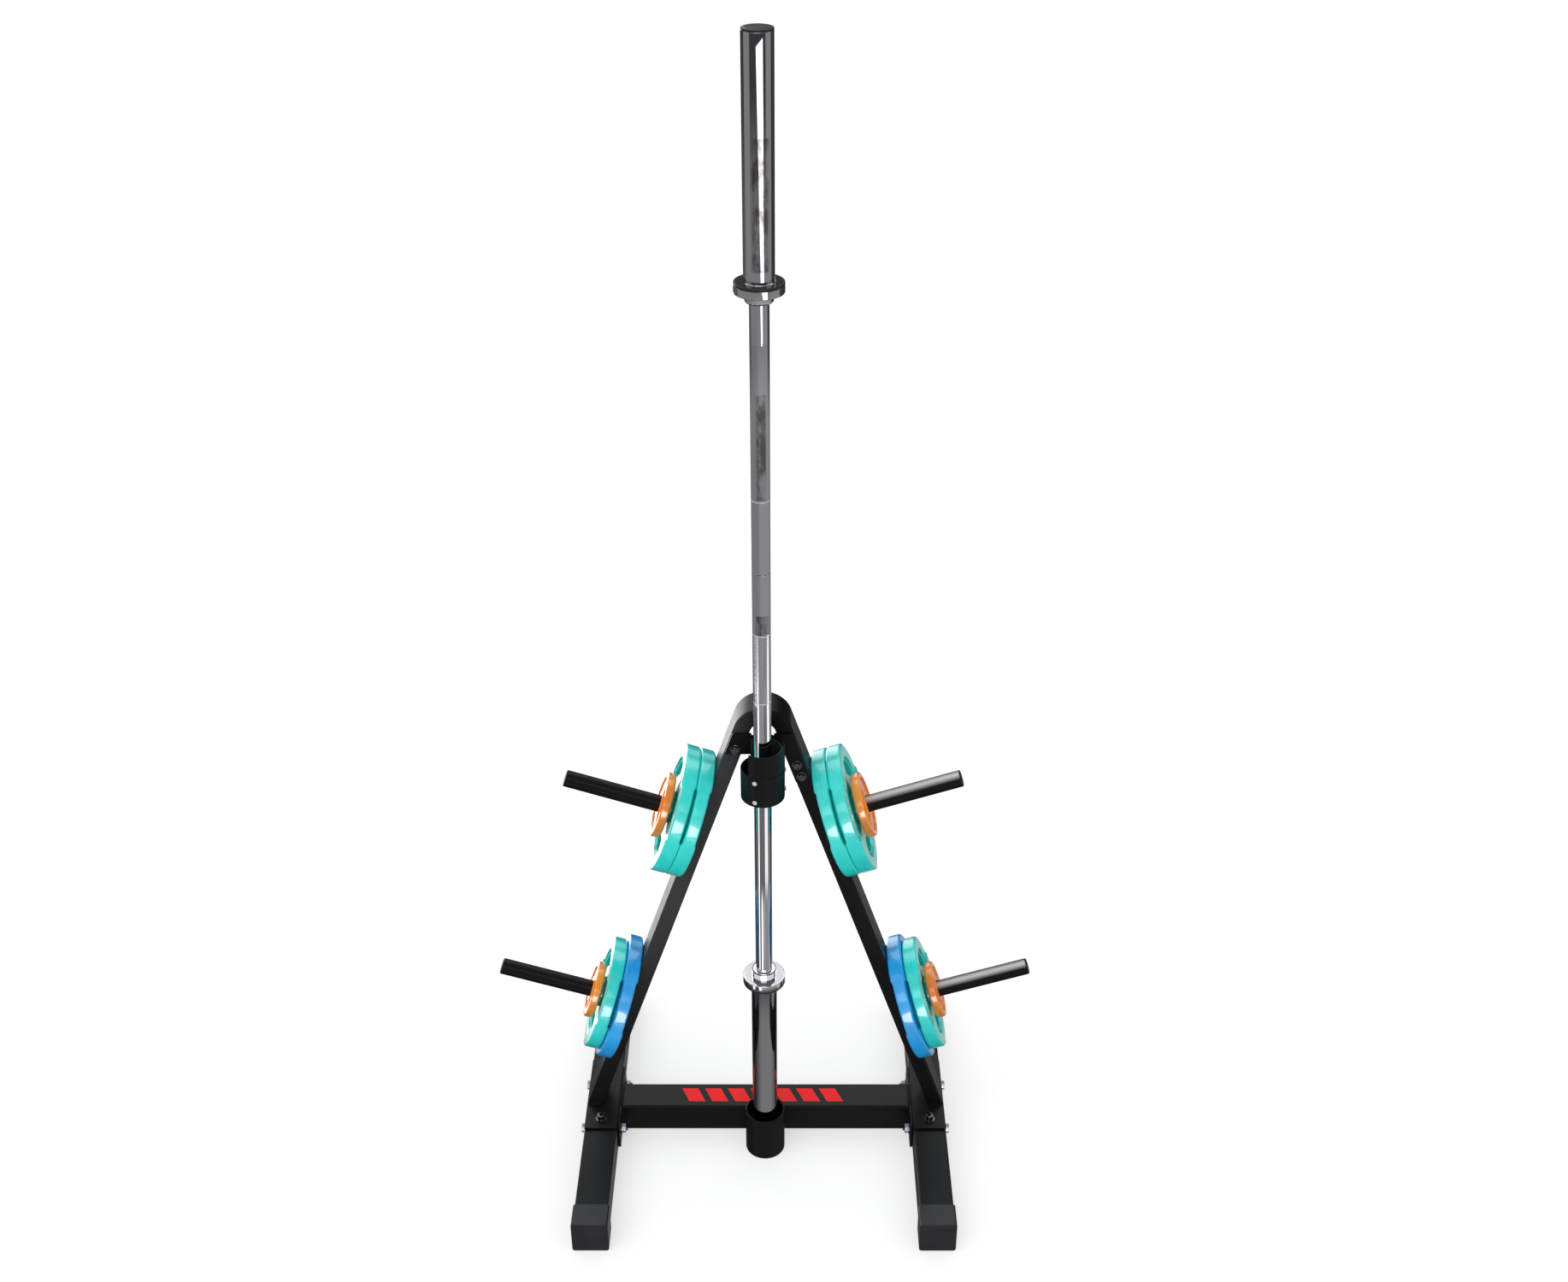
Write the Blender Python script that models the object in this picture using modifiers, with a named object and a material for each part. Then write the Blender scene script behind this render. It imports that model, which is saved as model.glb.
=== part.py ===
# Weight plate rack with an upright bar: a bent A-frame tube on two feet, four plate pegs,
# a socket and a turning lock guide for the bar, twelve plates and the bar itself.
# Metres, +Z up. Origin on the floor, in the middle of the A-frame; the front is -Y.

from math import asin, atan2, cos, hypot, pi, radians, sin, sqrt, tan

import bmesh
import bpy
from mathutils import Matrix, Vector

FIT = 0.0003                # gap between pieces that touch

# Feet and beam
TUBE = 0.066                # square tube, outside
TUBE_WALL = 0.0025
FOOT_LENGTH = 0.700         # over the end caps
FOOT_SPACING = 0.6773       # between the feet's centre lines
CAP_LENGTH = 0.0525
CAP_WALL = 0.0027
CAP_FACE = 0.003
END_PLATE = 0.005           # thickness of the beam's end plates
END_PLATE_LENGTH = 0.172
THROUGH_BOLT_OFFSET = 0.0617   # from the middle plane, front and back
SADDLE = 0.005              # thickness of the plate under each leg
SADDLE_LENGTH = 0.198
SADDLE_BOLT_OFFSET = 0.0735

# A-frame
FRAME_HEIGHT = 1.054        # floor to the top of the arch
LEG_WIDTH = 0.031           # seen from the front
LEG_DEPTH = 0.065
LEG_WALL = 0.0025
BEND_RADIUS = 0.055         # outside of the arch
LEG_SETBACK = 0.001         # leg's lower corner from the foot's outer face
ARCH_STEPS = 10

# Pegs
PEG_RADIUS = 0.016
PEG_WALL = 0.0025
PEG_LENGTH = 0.260
PLUG_HEAD = 0.003
PLUG_STEM = 0.014
LOWER_PEG_HEIGHT = 0.340    # where the axis leaves the leg's outer face
UPPER_PEG_DROP = 0.256      # the same, below the top of the arch
PEG_STEPS = 16

# Plates
BORE_PLAY = 0.00075         # plate bore to peg, on the radius
PLATE_HUB = 0.030           # hub radius
PLATE_RIM = 0.027           # radial width of the rim
PLATE_RECESS = 0.007        # web below the rim, each side
RIM_BEVEL = 0.003           # outer corners of the rim
GRIP_MARGIN = 0.005         # web left between a grip slot and the rim
GRIP_HEIGHT = 0.028         # radial size of a grip slot
GRIP_ANGLE = radians(62)
GRIP_FIRST = radians(59.5)  # from the top of the plate towards the front
PLATE_STEPS = 24
PLATES = {                  # radius and thickness
    "teal_plate_large": (0.1232, 0.0290),
    "orange_plate_large": (0.0624, 0.0165),
    "blue_plate": (0.1246, 0.0290),
    "teal_plate_small": (0.1124, 0.0280),
    "orange_plate_small": (0.0562, 0.0160),
}
UPPER_LOAD = ("teal_plate_large", "teal_plate_large", "orange_plate_large")
LOWER_LOAD = ("blue_plate", "teal_plate_small", "orange_plate_small")

# Bar
SLEEVE_RADIUS = 0.025
SLEEVE_LENGTH = 0.3814      # outer face of the collar to the end of the bar
SLEEVE_PLAY = 0.0004        # bore to spigot, on the radius
COLLAR_RADIUS = 0.041
COLLAR_THICKNESS = 0.018
COLLAR_GROOVE = 0.0015
HUB_RADIUS = 0.0235
HUB_LENGTH = 0.016
SHAFT_RADIUS = 0.0163
SPIGOT_RADIUS = 0.014
SHAFT_BETWEEN_COLLARS = 1.387
BAR_CAP_HEAD = 0.004
BAR_CAP_STEM = 0.012
BAR_STEPS = 24

# Bar socket on the beam
SOCKET_WALL = 0.003
SOCKET_HEIGHT = 0.1036
SOCKET_FLOOR = 0.0677       # top of the floor that the bar stands on
SOCKET_FLOOR_THICKNESS = 0.005
SOCKET_LIFT = 0.001         # underside above the floor

# Bar guide on the legs
GUIDE_RADIUS = 0.0405
GUIDE_WALL = 0.003
GUIDE_DROP = 0.0512         # guard's top below the top of the arch
GUARD_HEIGHT = 0.0455
LOCK_HEIGHT = 0.0632
LINER_WALL = 0.0047
LINER_PLAY = 0.0006         # liner to guard and lock ring, on the radius
LINER_SETBACK = 0.004       # liner's top below the guard's top
GUIDE_MOUTH_CENTRE = radians(-92)   # from the front towards the right
GUIDE_MOUTH = radians(106)
LOCK_GAP_CENTRE = radians(160)
LOCK_GAP = radians(64)
SCREW_COLUMNS = (radians(-20), radians(100), radians(220))
SCREW_INSET = 0.0105        # screw rows from the ring's edges
GROOVE_HALF = 0.0030
GROOVE_DEPTH = 0.0020
GUIDE_STEPS = 24

# Brackets of the guide
BRACKET = 0.005
BRACKET_TOP = 0.050         # below the top of the arch
LEFT_BRACKET_HEIGHT = 0.044
RIGHT_BRACKET_HEIGHT = 0.107
BRACKET_EDGE = 0.001        # set in from the leg's outer edge
LEFT_BOLT_DROPS = (0.082,)
RIGHT_BOLT_DROPS = (0.1165, 0.142)

# Fasteners
BOLT_RADIUS = 0.005
BOLT_HEAD_RADIUS = 0.0095
BOLT_HEAD = 0.0075
WASHER_RADIUS = 0.0115
WASHER = 0.002
NUT = 0.008
BOLT_STICK_OUT = 0.004
SADDLE_HEAD_RADIUS = 0.008
SADDLE_HEAD = 0.010
RIVET_NUT_RADIUS = 0.0075
RIVET_NUT = 0.014
BRACKET_BOLT_RADIUS = 0.004
BRACKET_BOLT_HEAD_RADIUS = 0.0075
BRACKET_BOLT_HEAD = 0.0055
BRACKET_WASHER_RADIUS = 0.0092
BRACKET_BOLT_LENGTH = 0.0125    # into the leg from its front face
SCREW_RADIUS = 0.0022
SCREW_HEAD_RADIUS = 0.0045
SCREW_HEAD = 0.0024
SCREW_HEAD_EDGE = 0.0020    # height where the head starts to curve in
SCREW_HEAD_FLAT = 0.0032    # radius of its flat top
SMALL_STEPS = 10

# Places that follow from the sizes
CAP_SIZE = TUBE + 2 * (CAP_WALL + FIT)
TUBE_BOTTOM = CAP_WALL + FIT
TUBE_TOP = TUBE_BOTTOM + TUBE
TUBE_MIDDLE = TUBE_BOTTOM + TUBE / 2
FOOT_X = FOOT_SPACING / 2
LEG_BOTTOM = TUBE_TOP + FIT + SADDLE + FIT
BAR_Y = -(LEG_DEPTH / 2 + FIT + GUIDE_RADIUS)
SOCKET_RADIUS = -BAR_Y - TUBE / 2 - FIT
ARCH_CENTRE = FRAME_HEIGHT - BEND_RADIUS
LEG_CORNER = FOOT_X + TUBE / 2 - LEG_SETBACK
CORNER_TO_ARCH = hypot(LEG_CORNER, ARCH_CENTRE - LEG_BOTTOM)
LEAN = atan2(LEG_CORNER, ARCH_CENTRE - LEG_BOTTOM) - asin(BEND_RADIUS / CORNER_TO_ARCH)
UPPER_PEG_HEIGHT = FRAME_HEIGHT - UPPER_PEG_DROP
BAR_BOTTOM = SOCKET_FLOOR + FIT
GUARD_TOP = FRAME_HEIGHT - GUIDE_DROP
GUARD_BOTTOM = GUARD_TOP - GUARD_HEIGHT
LOCK_TOP = GUARD_BOTTOM - FIT
LOCK_BOTTOM = LOCK_TOP - LOCK_HEIGHT
LINER_RADIUS = GUIDE_RADIUS - GUIDE_WALL - LINER_PLAY
BRACKET_FRONT = -(LEG_DEPTH / 2 + FIT + BRACKET)
BRACKET_REACH = sqrt((GUIDE_RADIUS + FIT) ** 2 - (BAR_Y - BRACKET_FRONT) ** 2)


def leg_outer(z):
    """Distance of the leg's outer face from the middle at height z."""
    return LEG_CORNER - (z - LEG_BOTTOM) * tan(LEAN)


def leg_inner(z):
    return leg_outer(z) - LEG_WIDTH / cos(LEAN)


# Scene and helpers

for old in list(bpy.data.objects):
    bpy.data.objects.remove(old, do_unlink=True)

parts = bpy.data.collections.new("weight_plate_rack")
cutters = bpy.data.collections.new("cutters")
bpy.context.scene.collection.children.link(parts)
bpy.context.scene.collection.children.link(cutters)


def material(name, colour, roughness, metallic):
    made = bpy.data.materials.new(name)
    made.use_nodes = True
    shader = made.node_tree.nodes["Principled BSDF"]
    shader.inputs["Base Color"].default_value = (*colour, 1.0)
    shader.inputs["Roughness"].default_value = roughness
    shader.inputs["Metallic"].default_value = metallic
    return made


BLACK_COAT = material("black_powder_coat", (0.025, 0.025, 0.028), 0.45, 0.0)
BLACK_PLASTIC = material("black_plastic", (0.035, 0.035, 0.038), 0.5, 0.0)
CHROME = material("chrome", (0.62, 0.62, 0.64), 0.08, 1.0)
ZINC = material("zinc", (0.45, 0.46, 0.48), 0.3, 1.0)
TEAL = material("teal_vinyl", (0.02, 0.55, 0.47), 0.2, 0.0)
BLUE = material("blue_vinyl", (0.01, 0.22, 0.72), 0.2, 0.0)
ORANGE = material("orange_vinyl", (0.72, 0.13, 0.01), 0.2, 0.0)


def mesh_from(bm, name):
    """Mesh of a finished bmesh, with its faces pointing out."""
    bmesh.ops.remove_doubles(bm, verts=bm.verts, dist=0.00001)
    bmesh.ops.recalc_face_normals(bm, faces=bm.faces)
    mesh = bpy.data.meshes.new(name)
    bm.to_mesh(mesh)
    bm.free()
    return mesh


def place(name, mesh, finish, matrix=None, collection=parts):
    made = bpy.data.objects.new(name, mesh)
    collection.objects.link(made)
    made.matrix_world = matrix or Matrix()
    if finish and not mesh.materials:
        mesh.materials.append(finish)
    if collection is cutters:
        made.hide_render = True
        made.display_type = "WIRE"
    return made


def blank(name, mesh):
    """Object to be cut or joined, kept out of the model until it is done."""
    return place(name, mesh, None, collection=cutters)


def box_mesh(name, size, centre=(0, 0, 0)):
    bm = bmesh.new()
    bmesh.ops.create_cube(bm, size=1.0)
    bmesh.ops.scale(bm, vec=size, verts=bm.verts)
    bmesh.ops.translate(bm, vec=centre, verts=bm.verts)
    return mesh_from(bm, name)


def rod_mesh(name, radius, low, high, steps=SMALL_STEPS):
    bm = bmesh.new()
    size = {"radius1": radius, "radius2": radius, "depth": high - low}
    bmesh.ops.create_cone(bm, cap_ends=True, segments=steps, **size)
    bmesh.ops.translate(bm, vec=(0, 0, (low + high) / 2), verts=bm.verts)
    return mesh_from(bm, name)


def prism_mesh(name, outline, front, back):
    """Flat outline of (x, z) points, made solid from y=front to y=back."""
    bm = bmesh.new()
    face = bm.faces.new([bm.verts.new((x, front, z)) for x, z in outline])
    side = bmesh.ops.extrude_face_region(bm, geom=[face])["geom"]
    moved = [item for item in side if isinstance(item, bmesh.types.BMVert)]
    bmesh.ops.translate(bm, vec=(0, back - front, 0), verts=moved)
    return mesh_from(bm, name)


def sector_mesh(name, low_radius, high_radius, low, high, centre, width, steps):
    """Part of a tube wall: a rectangle turned about Z through an angle; 0 is -Y and +X is a quarter turn."""
    bm = bmesh.new()
    corners = ((low_radius, low), (high_radius, low), (high_radius, high), (low_radius, high))
    face = bm.faces.new([bm.verts.new((r, 0, z)) for r, z in corners])
    start = centre - width / 2 - pi / 2
    bmesh.ops.rotate(bm, cent=(0, 0, 0), matrix=Matrix.Rotation(start, 3, "Z"), verts=bm.verts)
    section = [face, *face.edges, *face.verts]
    bmesh.ops.spin(bm, geom=section, cent=(0, 0, 0), axis=(0, 0, 1), angle=width, steps=steps)
    return mesh_from(bm, name)


def turned(name, profile, steps, closed=False):
    """Object turned about Z from (radius, z) points that run down the outside."""
    bm = bmesh.new()
    points = [bm.verts.new((r, 0, z)) for r, z in profile]
    for a, b in zip(points, points[1:]):
        bm.edges.new((a, b))
    if closed:
        bm.edges.new((points[-1], points[0]))
    mesh = bpy.data.meshes.new(name)
    bm.to_mesh(mesh)
    bm.free()
    made = blank(name, mesh)
    screw = made.modifiers.new("turn", "SCREW")
    screw.axis = "Z"
    screw.steps = steps
    screw.render_steps = steps
    screw.use_merge_vertices = True
    screw.merge_threshold = 0.00001
    return made


def shaped(name, base, cut=(), join=()):
    """Mesh of a base object with other meshes cut from it or joined to it; the helpers are removed."""
    helpers = []
    for operation, meshes in (("UNION", join), ("DIFFERENCE", cut)):
        for mesh, matrix in meshes:
            helper = place(name + "_tool", mesh, None, matrix, cutters)
            boolean = base.modifiers.new(operation.lower(), "BOOLEAN")
            boolean.operation = operation
            boolean.object = helper
            helpers.append(helper)
    bpy.context.view_layer.update()
    seen = base.evaluated_get(bpy.context.evaluated_depsgraph_get())
    mesh = bpy.data.meshes.new_from_object(seen)
    mesh.name = name
    for helper in (*helpers, base):
        bpy.data.objects.remove(helper, do_unlink=True)
    bm = bmesh.new()
    bm.from_mesh(mesh)
    bmesh.ops.remove_doubles(bm, verts=bm.verts, dist=0.00001)
    bmesh.ops.recalc_face_normals(bm, faces=bm.faces)
    bm.to_mesh(mesh)
    bm.free()
    mesh.materials.clear()
    return mesh


def turned_mesh(name, profile, steps, closed=False, cut=(), join=()):
    return shaped(name, turned(name, profile, steps, closed), cut, join)


def smooth(mesh):
    mesh.shade_smooth()
    mesh.set_sharp_from_angle(angle=radians(35))
    return mesh


def at(x, y, z):
    return Matrix.Translation((x, y, z))


def along_x(x, y, z, side=1):
    """Turns local Z to point out along X on the given side."""
    return at(x, y, z) @ Matrix.Rotation(side * pi / 2, 4, "Y")


def along_front(x, y, z):
    """Turns local Z to point to the front."""
    return at(x, y, z) @ Matrix.Rotation(pi / 2, 4, "X")


def tube_mesh(name, size, wall, length, holes=()):
    """Square tube along Y, open at both ends, with holes drilled by the given rods."""
    outside = blank(name, box_mesh(name, (size, length, size)))
    inside = box_mesh(name, (size - 2 * wall, length + size, size - 2 * wall))
    return shaped(name, outside, cut=((inside, Matrix()), *holes))


# Feet, caps and beam

def build_feet():
    tube_length = FOOT_LENGTH - 2 * (CAP_FACE + FIT)
    drill = rod_mesh("through_drill", BOLT_RADIUS + FIT, -TUBE, TUBE)
    top_drill = rod_mesh("saddle_drill", BOLT_RADIUS + FIT, 0, TUBE)
    holes = []
    for end in (-1, 1):
        holes.append((drill, along_x(0, end * THROUGH_BOLT_OFFSET, 0)))
        holes.append((top_drill, at(0, end * SADDLE_BOLT_OFFSET, 0)))
    foot = tube_mesh("foot_tube", TUBE, TUBE_WALL, tube_length, holes)
    cap_outside = blank("foot_cap", box_mesh("foot_cap", (CAP_SIZE, CAP_LENGTH, CAP_SIZE)))
    hollow = box_mesh("cap_hollow", (TUBE + 2 * FIT, CAP_LENGTH, TUBE + 2 * FIT))
    cap = shaped("foot_cap", cap_outside, cut=((hollow, at(0, CAP_FACE, 0)),))
    for side, side_name in ((-1, "left"), (1, "right")):
        place("foot_tube_" + side_name, foot, BLACK_COAT, at(side * FOOT_X, 0, TUBE_MIDDLE))
        for end, end_name in ((-1, "front"), (1, "rear")):
            turn = Matrix.Rotation(0 if end < 0 else pi, 4, "Z")
            middle = at(side * FOOT_X, end * (FOOT_LENGTH - CAP_LENGTH) / 2, TUBE_MIDDLE)
            place(f"foot_cap_{end_name}_{side_name}", cap, BLACK_PLASTIC, middle @ turn)


def build_beam():
    plate_x = FOOT_X - TUBE / 2 - FIT - END_PLATE / 2
    beam_length = 2 * (plate_x - END_PLATE / 2 - FIT)
    beam = tube_mesh("cross_beam", TUBE, TUBE_WALL, beam_length)
    place("cross_beam", beam, BLACK_COAT, at(0, 0, TUBE_MIDDLE) @ Matrix.Rotation(pi / 2, 4, "Z"))
    drill = rod_mesh("plate_drill", BOLT_RADIUS + FIT, -END_PLATE, END_PLATE)
    uncut = blank("beam_end_plate", box_mesh("beam_end_plate", (END_PLATE, END_PLATE_LENGTH, TUBE)))
    holes = [(drill, along_x(0, end * THROUGH_BOLT_OFFSET, 0)) for end in (-1, 1)]
    plate = shaped("beam_end_plate", uncut, cut=holes)
    for side, side_name in ((-1, "left"), (1, "right")):
        place("beam_end_plate_" + side_name, plate, BLACK_COAT, at(side * plate_x, 0, TUBE_MIDDLE))


def build_saddles():
    uncut = blank("leg_saddle", box_mesh("leg_saddle", (TUBE, SADDLE_LENGTH, SADDLE)))
    drill = rod_mesh("saddle_drill", BOLT_RADIUS + FIT, -SADDLE, SADDLE)
    holes = [(drill, at(0, end * SADDLE_BOLT_OFFSET, 0)) for end in (-1, 1)]
    saddle = shaped("leg_saddle", uncut, cut=holes)
    for side, side_name in ((-1, "left"), (1, "right")):
        middle = at(side * FOOT_X, 0, TUBE_TOP + FIT + SADDLE / 2)
        place("leg_saddle_" + side_name, saddle, BLACK_COAT, middle)


# Fasteners of the feet

def build_foot_bolts():
    grip = TUBE + 2 * FIT + END_PLATE
    end = grip / 2 + FIT
    stick = end + WASHER + NUT + BOLT_STICK_OUT
    profile = ((0, end + WASHER), (WASHER_RADIUS, end + WASHER), (WASHER_RADIUS, end), (BOLT_RADIUS, end),
               (BOLT_RADIUS, -end), (WASHER_RADIUS, -end), (WASHER_RADIUS, -end - WASHER),
               (BOLT_RADIUS, -end - WASHER), (BOLT_RADIUS, -stick), (0, -stick))
    head = rod_mesh("bolt_head", BOLT_HEAD_RADIUS, end + WASHER / 2, end + WASHER + BOLT_HEAD, 6)
    nut = rod_mesh("bolt_nut", BOLT_HEAD_RADIUS, -end - WASHER - NUT, -end - WASHER / 2, 6)
    bolt = turned_mesh("foot_bolt", profile, SMALL_STEPS, join=((head, Matrix()), (nut, Matrix())))
    middle = FOOT_X - (FIT + END_PLATE) / 2
    for side, side_name in ((-1, "left"), (1, "right")):
        for y, end_name in ((-THROUGH_BOLT_OFFSET, "front"), (THROUGH_BOLT_OFFSET, "rear")):
            matrix = along_x(side * middle, y, TUBE_MIDDLE, side)
            place(f"foot_bolt_{end_name}_{side_name}", bolt, ZINC, matrix)


def build_saddle_bolts():
    top = LEG_BOTTOM + WASHER
    under = TUBE_TOP - TUBE_WALL - FIT
    socket = SADDLE_HEAD_RADIUS / 2
    profile = ((0, top + SADDLE_HEAD / 2), (socket, top + SADDLE_HEAD / 2), (socket, top + SADDLE_HEAD),
               (SADDLE_HEAD_RADIUS, top + SADDLE_HEAD), (SADDLE_HEAD_RADIUS, top), (WASHER_RADIUS, top),
               (WASHER_RADIUS, LEG_BOTTOM), (BOLT_RADIUS, LEG_BOTTOM), (BOLT_RADIUS, under),
               (RIVET_NUT_RADIUS, under), (RIVET_NUT_RADIUS, under - RIVET_NUT), (0, under - RIVET_NUT))
    bolt = turned_mesh("saddle_bolt", profile, SMALL_STEPS)
    for side, side_name in ((-1, "left"), (1, "right")):
        for end, end_name in ((-1, "front"), (1, "rear")):
            matrix = at(side * FOOT_X, end * SADDLE_BOLT_OFFSET, 0)
            place(f"saddle_bolt_{end_name}_{side_name}", bolt, ZINC, matrix)


# A-frame: one rectangular tube, bent over the top and cut level at the feet

def bent_bar(name, half_width, half_depth):
    """Solid bar along the tube's line, running on below the legs; its section stays square to the line."""
    bm = bmesh.new()
    line_radius = BEND_RADIUS - LEG_WIDTH / 2
    middle = Vector((0, 0, ARCH_CENTRE))
    overrun = CORNER_TO_ARCH + LEG_WIDTH
    stations = [(pi / 2 - LEAN, overrun)]
    for step in range(ARCH_STEPS + 1):
        stations.append((pi / 2 - LEAN - (pi - 2 * LEAN) * step / ARCH_STEPS, 0))
    stations.append((LEAN - pi / 2, overrun))
    last = None
    for turn, run in stations:
        outward = Vector((sin(turn), 0, cos(turn)))
        down = Vector((cos(turn), 0, -sin(turn))) * (1 if turn > 0 else -1)
        centre = middle + outward * line_radius + down * run
        corners = [centre + outward * half_width * a + Vector((0, half_depth * b, 0))
                   for a, b in ((1, 1), (1, -1), (-1, -1), (-1, 1))]
        verts = [bm.verts.new(corner) for corner in corners]
        if last:
            for i in range(4):
                bm.faces.new((last[i], last[i - 3], verts[i - 3], verts[i]))
        else:
            bm.faces.new(verts)
        last = verts
    bm.faces.new(last)
    return mesh_from(bm, name)


def build_a_frame():
    solid = blank("a_frame_tube", bent_bar("a_frame_tube", LEG_WIDTH / 2, LEG_DEPTH / 2))
    hollow = bent_bar("frame_hollow", LEG_WIDTH / 2 - LEG_WALL, LEG_DEPTH / 2 - LEG_WALL)
    below = box_mesh("below_legs", (4 * LEG_CORNER, 2 * LEG_DEPTH, 2 * LEG_BOTTOM))
    drill = rod_mesh("bracket_drill", BRACKET_BOLT_RADIUS + FIT, LEG_DEPTH / 4, LEG_DEPTH)
    holes = [(drill, along_front(x, 0, z)) for x, z in bracket_bolt_places()]
    frame = shaped("a_frame_tube", solid, cut=((hollow, Matrix()), (below, Matrix()), *holes))
    place("a_frame_tube", frame, BLACK_COAT)


# Pegs

def peg_places():
    """Name, side and matrix of each peg: local Z runs out along the peg from the leg's face."""
    for side, side_name in ((-1, "left"), (1, "right")):
        for height, level in ((UPPER_PEG_HEIGHT, "upper"), (LOWER_PEG_HEIGHT, "lower")):
            turn = Matrix.Rotation(side * (pi / 2 - LEAN), 4, "Y")
            yield f"{level}_{side_name}", side, at(side * leg_outer(height), 0, height) @ turn


def build_pegs():
    bore = PEG_RADIUS - PEG_WALL
    end = PEG_LENGTH - PLUG_HEAD - FIT
    wall = ((PEG_RADIUS, end), (PEG_RADIUS, FIT), (bore, FIT), (bore, end))
    tube = turned_mesh("plate_peg", wall, PEG_STEPS, True)
    stem = bore - FIT
    plug_profile = ((0, PEG_LENGTH), (PEG_RADIUS - PLUG_HEAD / 2, PEG_LENGTH),
                    (PEG_RADIUS, PEG_LENGTH - PLUG_HEAD / 2), (PEG_RADIUS, end + FIT),
                    (stem, end + FIT), (stem, end - PLUG_STEM), (0, end - PLUG_STEM))
    plug = turned_mesh("peg_plug", plug_profile, PEG_STEPS)
    for name, side, matrix in peg_places():
        place("plate_peg_" + name, smooth(tube), BLACK_COAT, matrix)
        place("peg_plug_" + name, smooth(plug), BLACK_PLASTIC, matrix)


# Plates

def plate_mesh(name, radius, thickness):
    bore = PEG_RADIUS + BORE_PLAY
    if radius > PLATE_HUB + 2 * PLATE_RIM:
        rim = radius - PLATE_RIM
        low, high = PLATE_RECESS, thickness - PLATE_RECESS
        profile = ((radius - RIM_BEVEL, thickness), (radius, thickness - RIM_BEVEL), (radius, RIM_BEVEL),
                   (radius - RIM_BEVEL, 0), (rim, 0), (rim, low), (PLATE_HUB, low), (PLATE_HUB, 0),
                   (bore, 0), (bore, thickness), (PLATE_HUB, thickness), (PLATE_HUB, high), (rim, high),
                   (rim, thickness))
        slots = []
        for step in range(3):
            slot = sector_mesh(name, rim - GRIP_MARGIN - GRIP_HEIGHT, rim - GRIP_MARGIN, 0, thickness,
                               step * 2 * pi / 3, GRIP_ANGLE, 4)
            slots.append((slot, Matrix()))
        return turned_mesh(name, profile, PLATE_STEPS, True, cut=slots)
    profile = ((radius, thickness), (radius, 0), (bore, 0), (bore, thickness))
    return turned_mesh(name, profile, PLATE_STEPS, True)


def grip_turn(side):
    """Turn about the peg that brings a plate's first slot to its place, the same on both sides."""
    return Matrix.Rotation(side * (GRIP_FIRST - pi / 2), 4, "Z")


def build_plates():
    meshes = {kind: smooth(plate_mesh(kind, *sizes)) for kind, sizes in PLATES.items()}
    finishes = {"teal": TEAL, "blue": BLUE, "orange": ORANGE}
    for name, side, matrix in peg_places():
        load = UPPER_LOAD if name.startswith("upper") else LOWER_LOAD
        start = FIT
        turn = grip_turn(side)
        for order, kind in zip(("inner", "middle", "outer"), load):
            colour = kind.split("_")[0]
            seat = matrix @ at(0, 0, start) @ turn
            place(f"{order}_{colour}_plate_{name}", meshes[kind], finishes[colour], seat)
            start += PLATES[kind][1] + FIT


# Bar

def sleeve_profile():
    """Sleeve with its collar and hub; z runs from the bar's end to the hub's face."""
    bore = SPIGOT_RADIUS + SLEEVE_PLAY
    collar = SLEEVE_LENGTH
    back = collar + COLLAR_THICKNESS
    face = back + HUB_LENGTH
    groove = collar + COLLAR_THICKNESS / 3
    return ((HUB_RADIUS, face), (HUB_RADIUS, back), (COLLAR_RADIUS, back),
            (COLLAR_RADIUS, groove + COLLAR_GROOVE), (COLLAR_RADIUS - COLLAR_GROOVE, groove),
            (COLLAR_RADIUS, groove - COLLAR_GROOVE), (COLLAR_RADIUS, collar), (SLEEVE_RADIUS, collar),
            (SLEEVE_RADIUS, BAR_CAP_HEAD + FIT), (bore, BAR_CAP_HEAD + FIT), (bore, face))


def build_bar():
    face = SLEEVE_LENGTH + COLLAR_THICKNESS + HUB_LENGTH
    length = 2 * (SLEEVE_LENGTH + COLLAR_THICKNESS) + SHAFT_BETWEEN_COLLARS
    spigot_end = BAR_CAP_HEAD + BAR_CAP_STEM + 4 * FIT
    low, high = face + FIT, length - face - FIT
    shaft_profile = ((0, length - spigot_end), (SPIGOT_RADIUS, length - spigot_end), (SPIGOT_RADIUS, high),
                     (SHAFT_RADIUS, high), (SHAFT_RADIUS, low), (SPIGOT_RADIUS, low),
                     (SPIGOT_RADIUS, spigot_end), (0, spigot_end))
    shaft = turned_mesh("bar_shaft", shaft_profile, BAR_STEPS)
    sleeve = turned_mesh("bar_sleeve", sleeve_profile(), BAR_STEPS, True)
    stem = BAR_CAP_HEAD + BAR_CAP_STEM
    edge = BAR_CAP_HEAD / 2
    cap_profile = ((0, stem), (SPIGOT_RADIUS, stem), (SPIGOT_RADIUS, BAR_CAP_HEAD),
                   (SLEEVE_RADIUS, BAR_CAP_HEAD), (SLEEVE_RADIUS, edge), (SLEEVE_RADIUS - edge, 0), (0, 0))
    cap = turned_mesh("bar_end_cap", cap_profile, BAR_STEPS)
    bottom = at(0, BAR_Y, BAR_BOTTOM)
    top = at(0, BAR_Y, BAR_BOTTOM + length) @ Matrix.Rotation(pi, 4, "X")
    place("bar_shaft", smooth(shaft), CHROME, bottom)
    for level, matrix in (("lower", bottom), ("upper", top)):
        place("bar_sleeve_" + level, smooth(sleeve), CHROME, matrix)
        place("bar_end_cap_" + level, smooth(cap), BLACK_PLASTIC, matrix)


# Bar socket and guide

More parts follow.
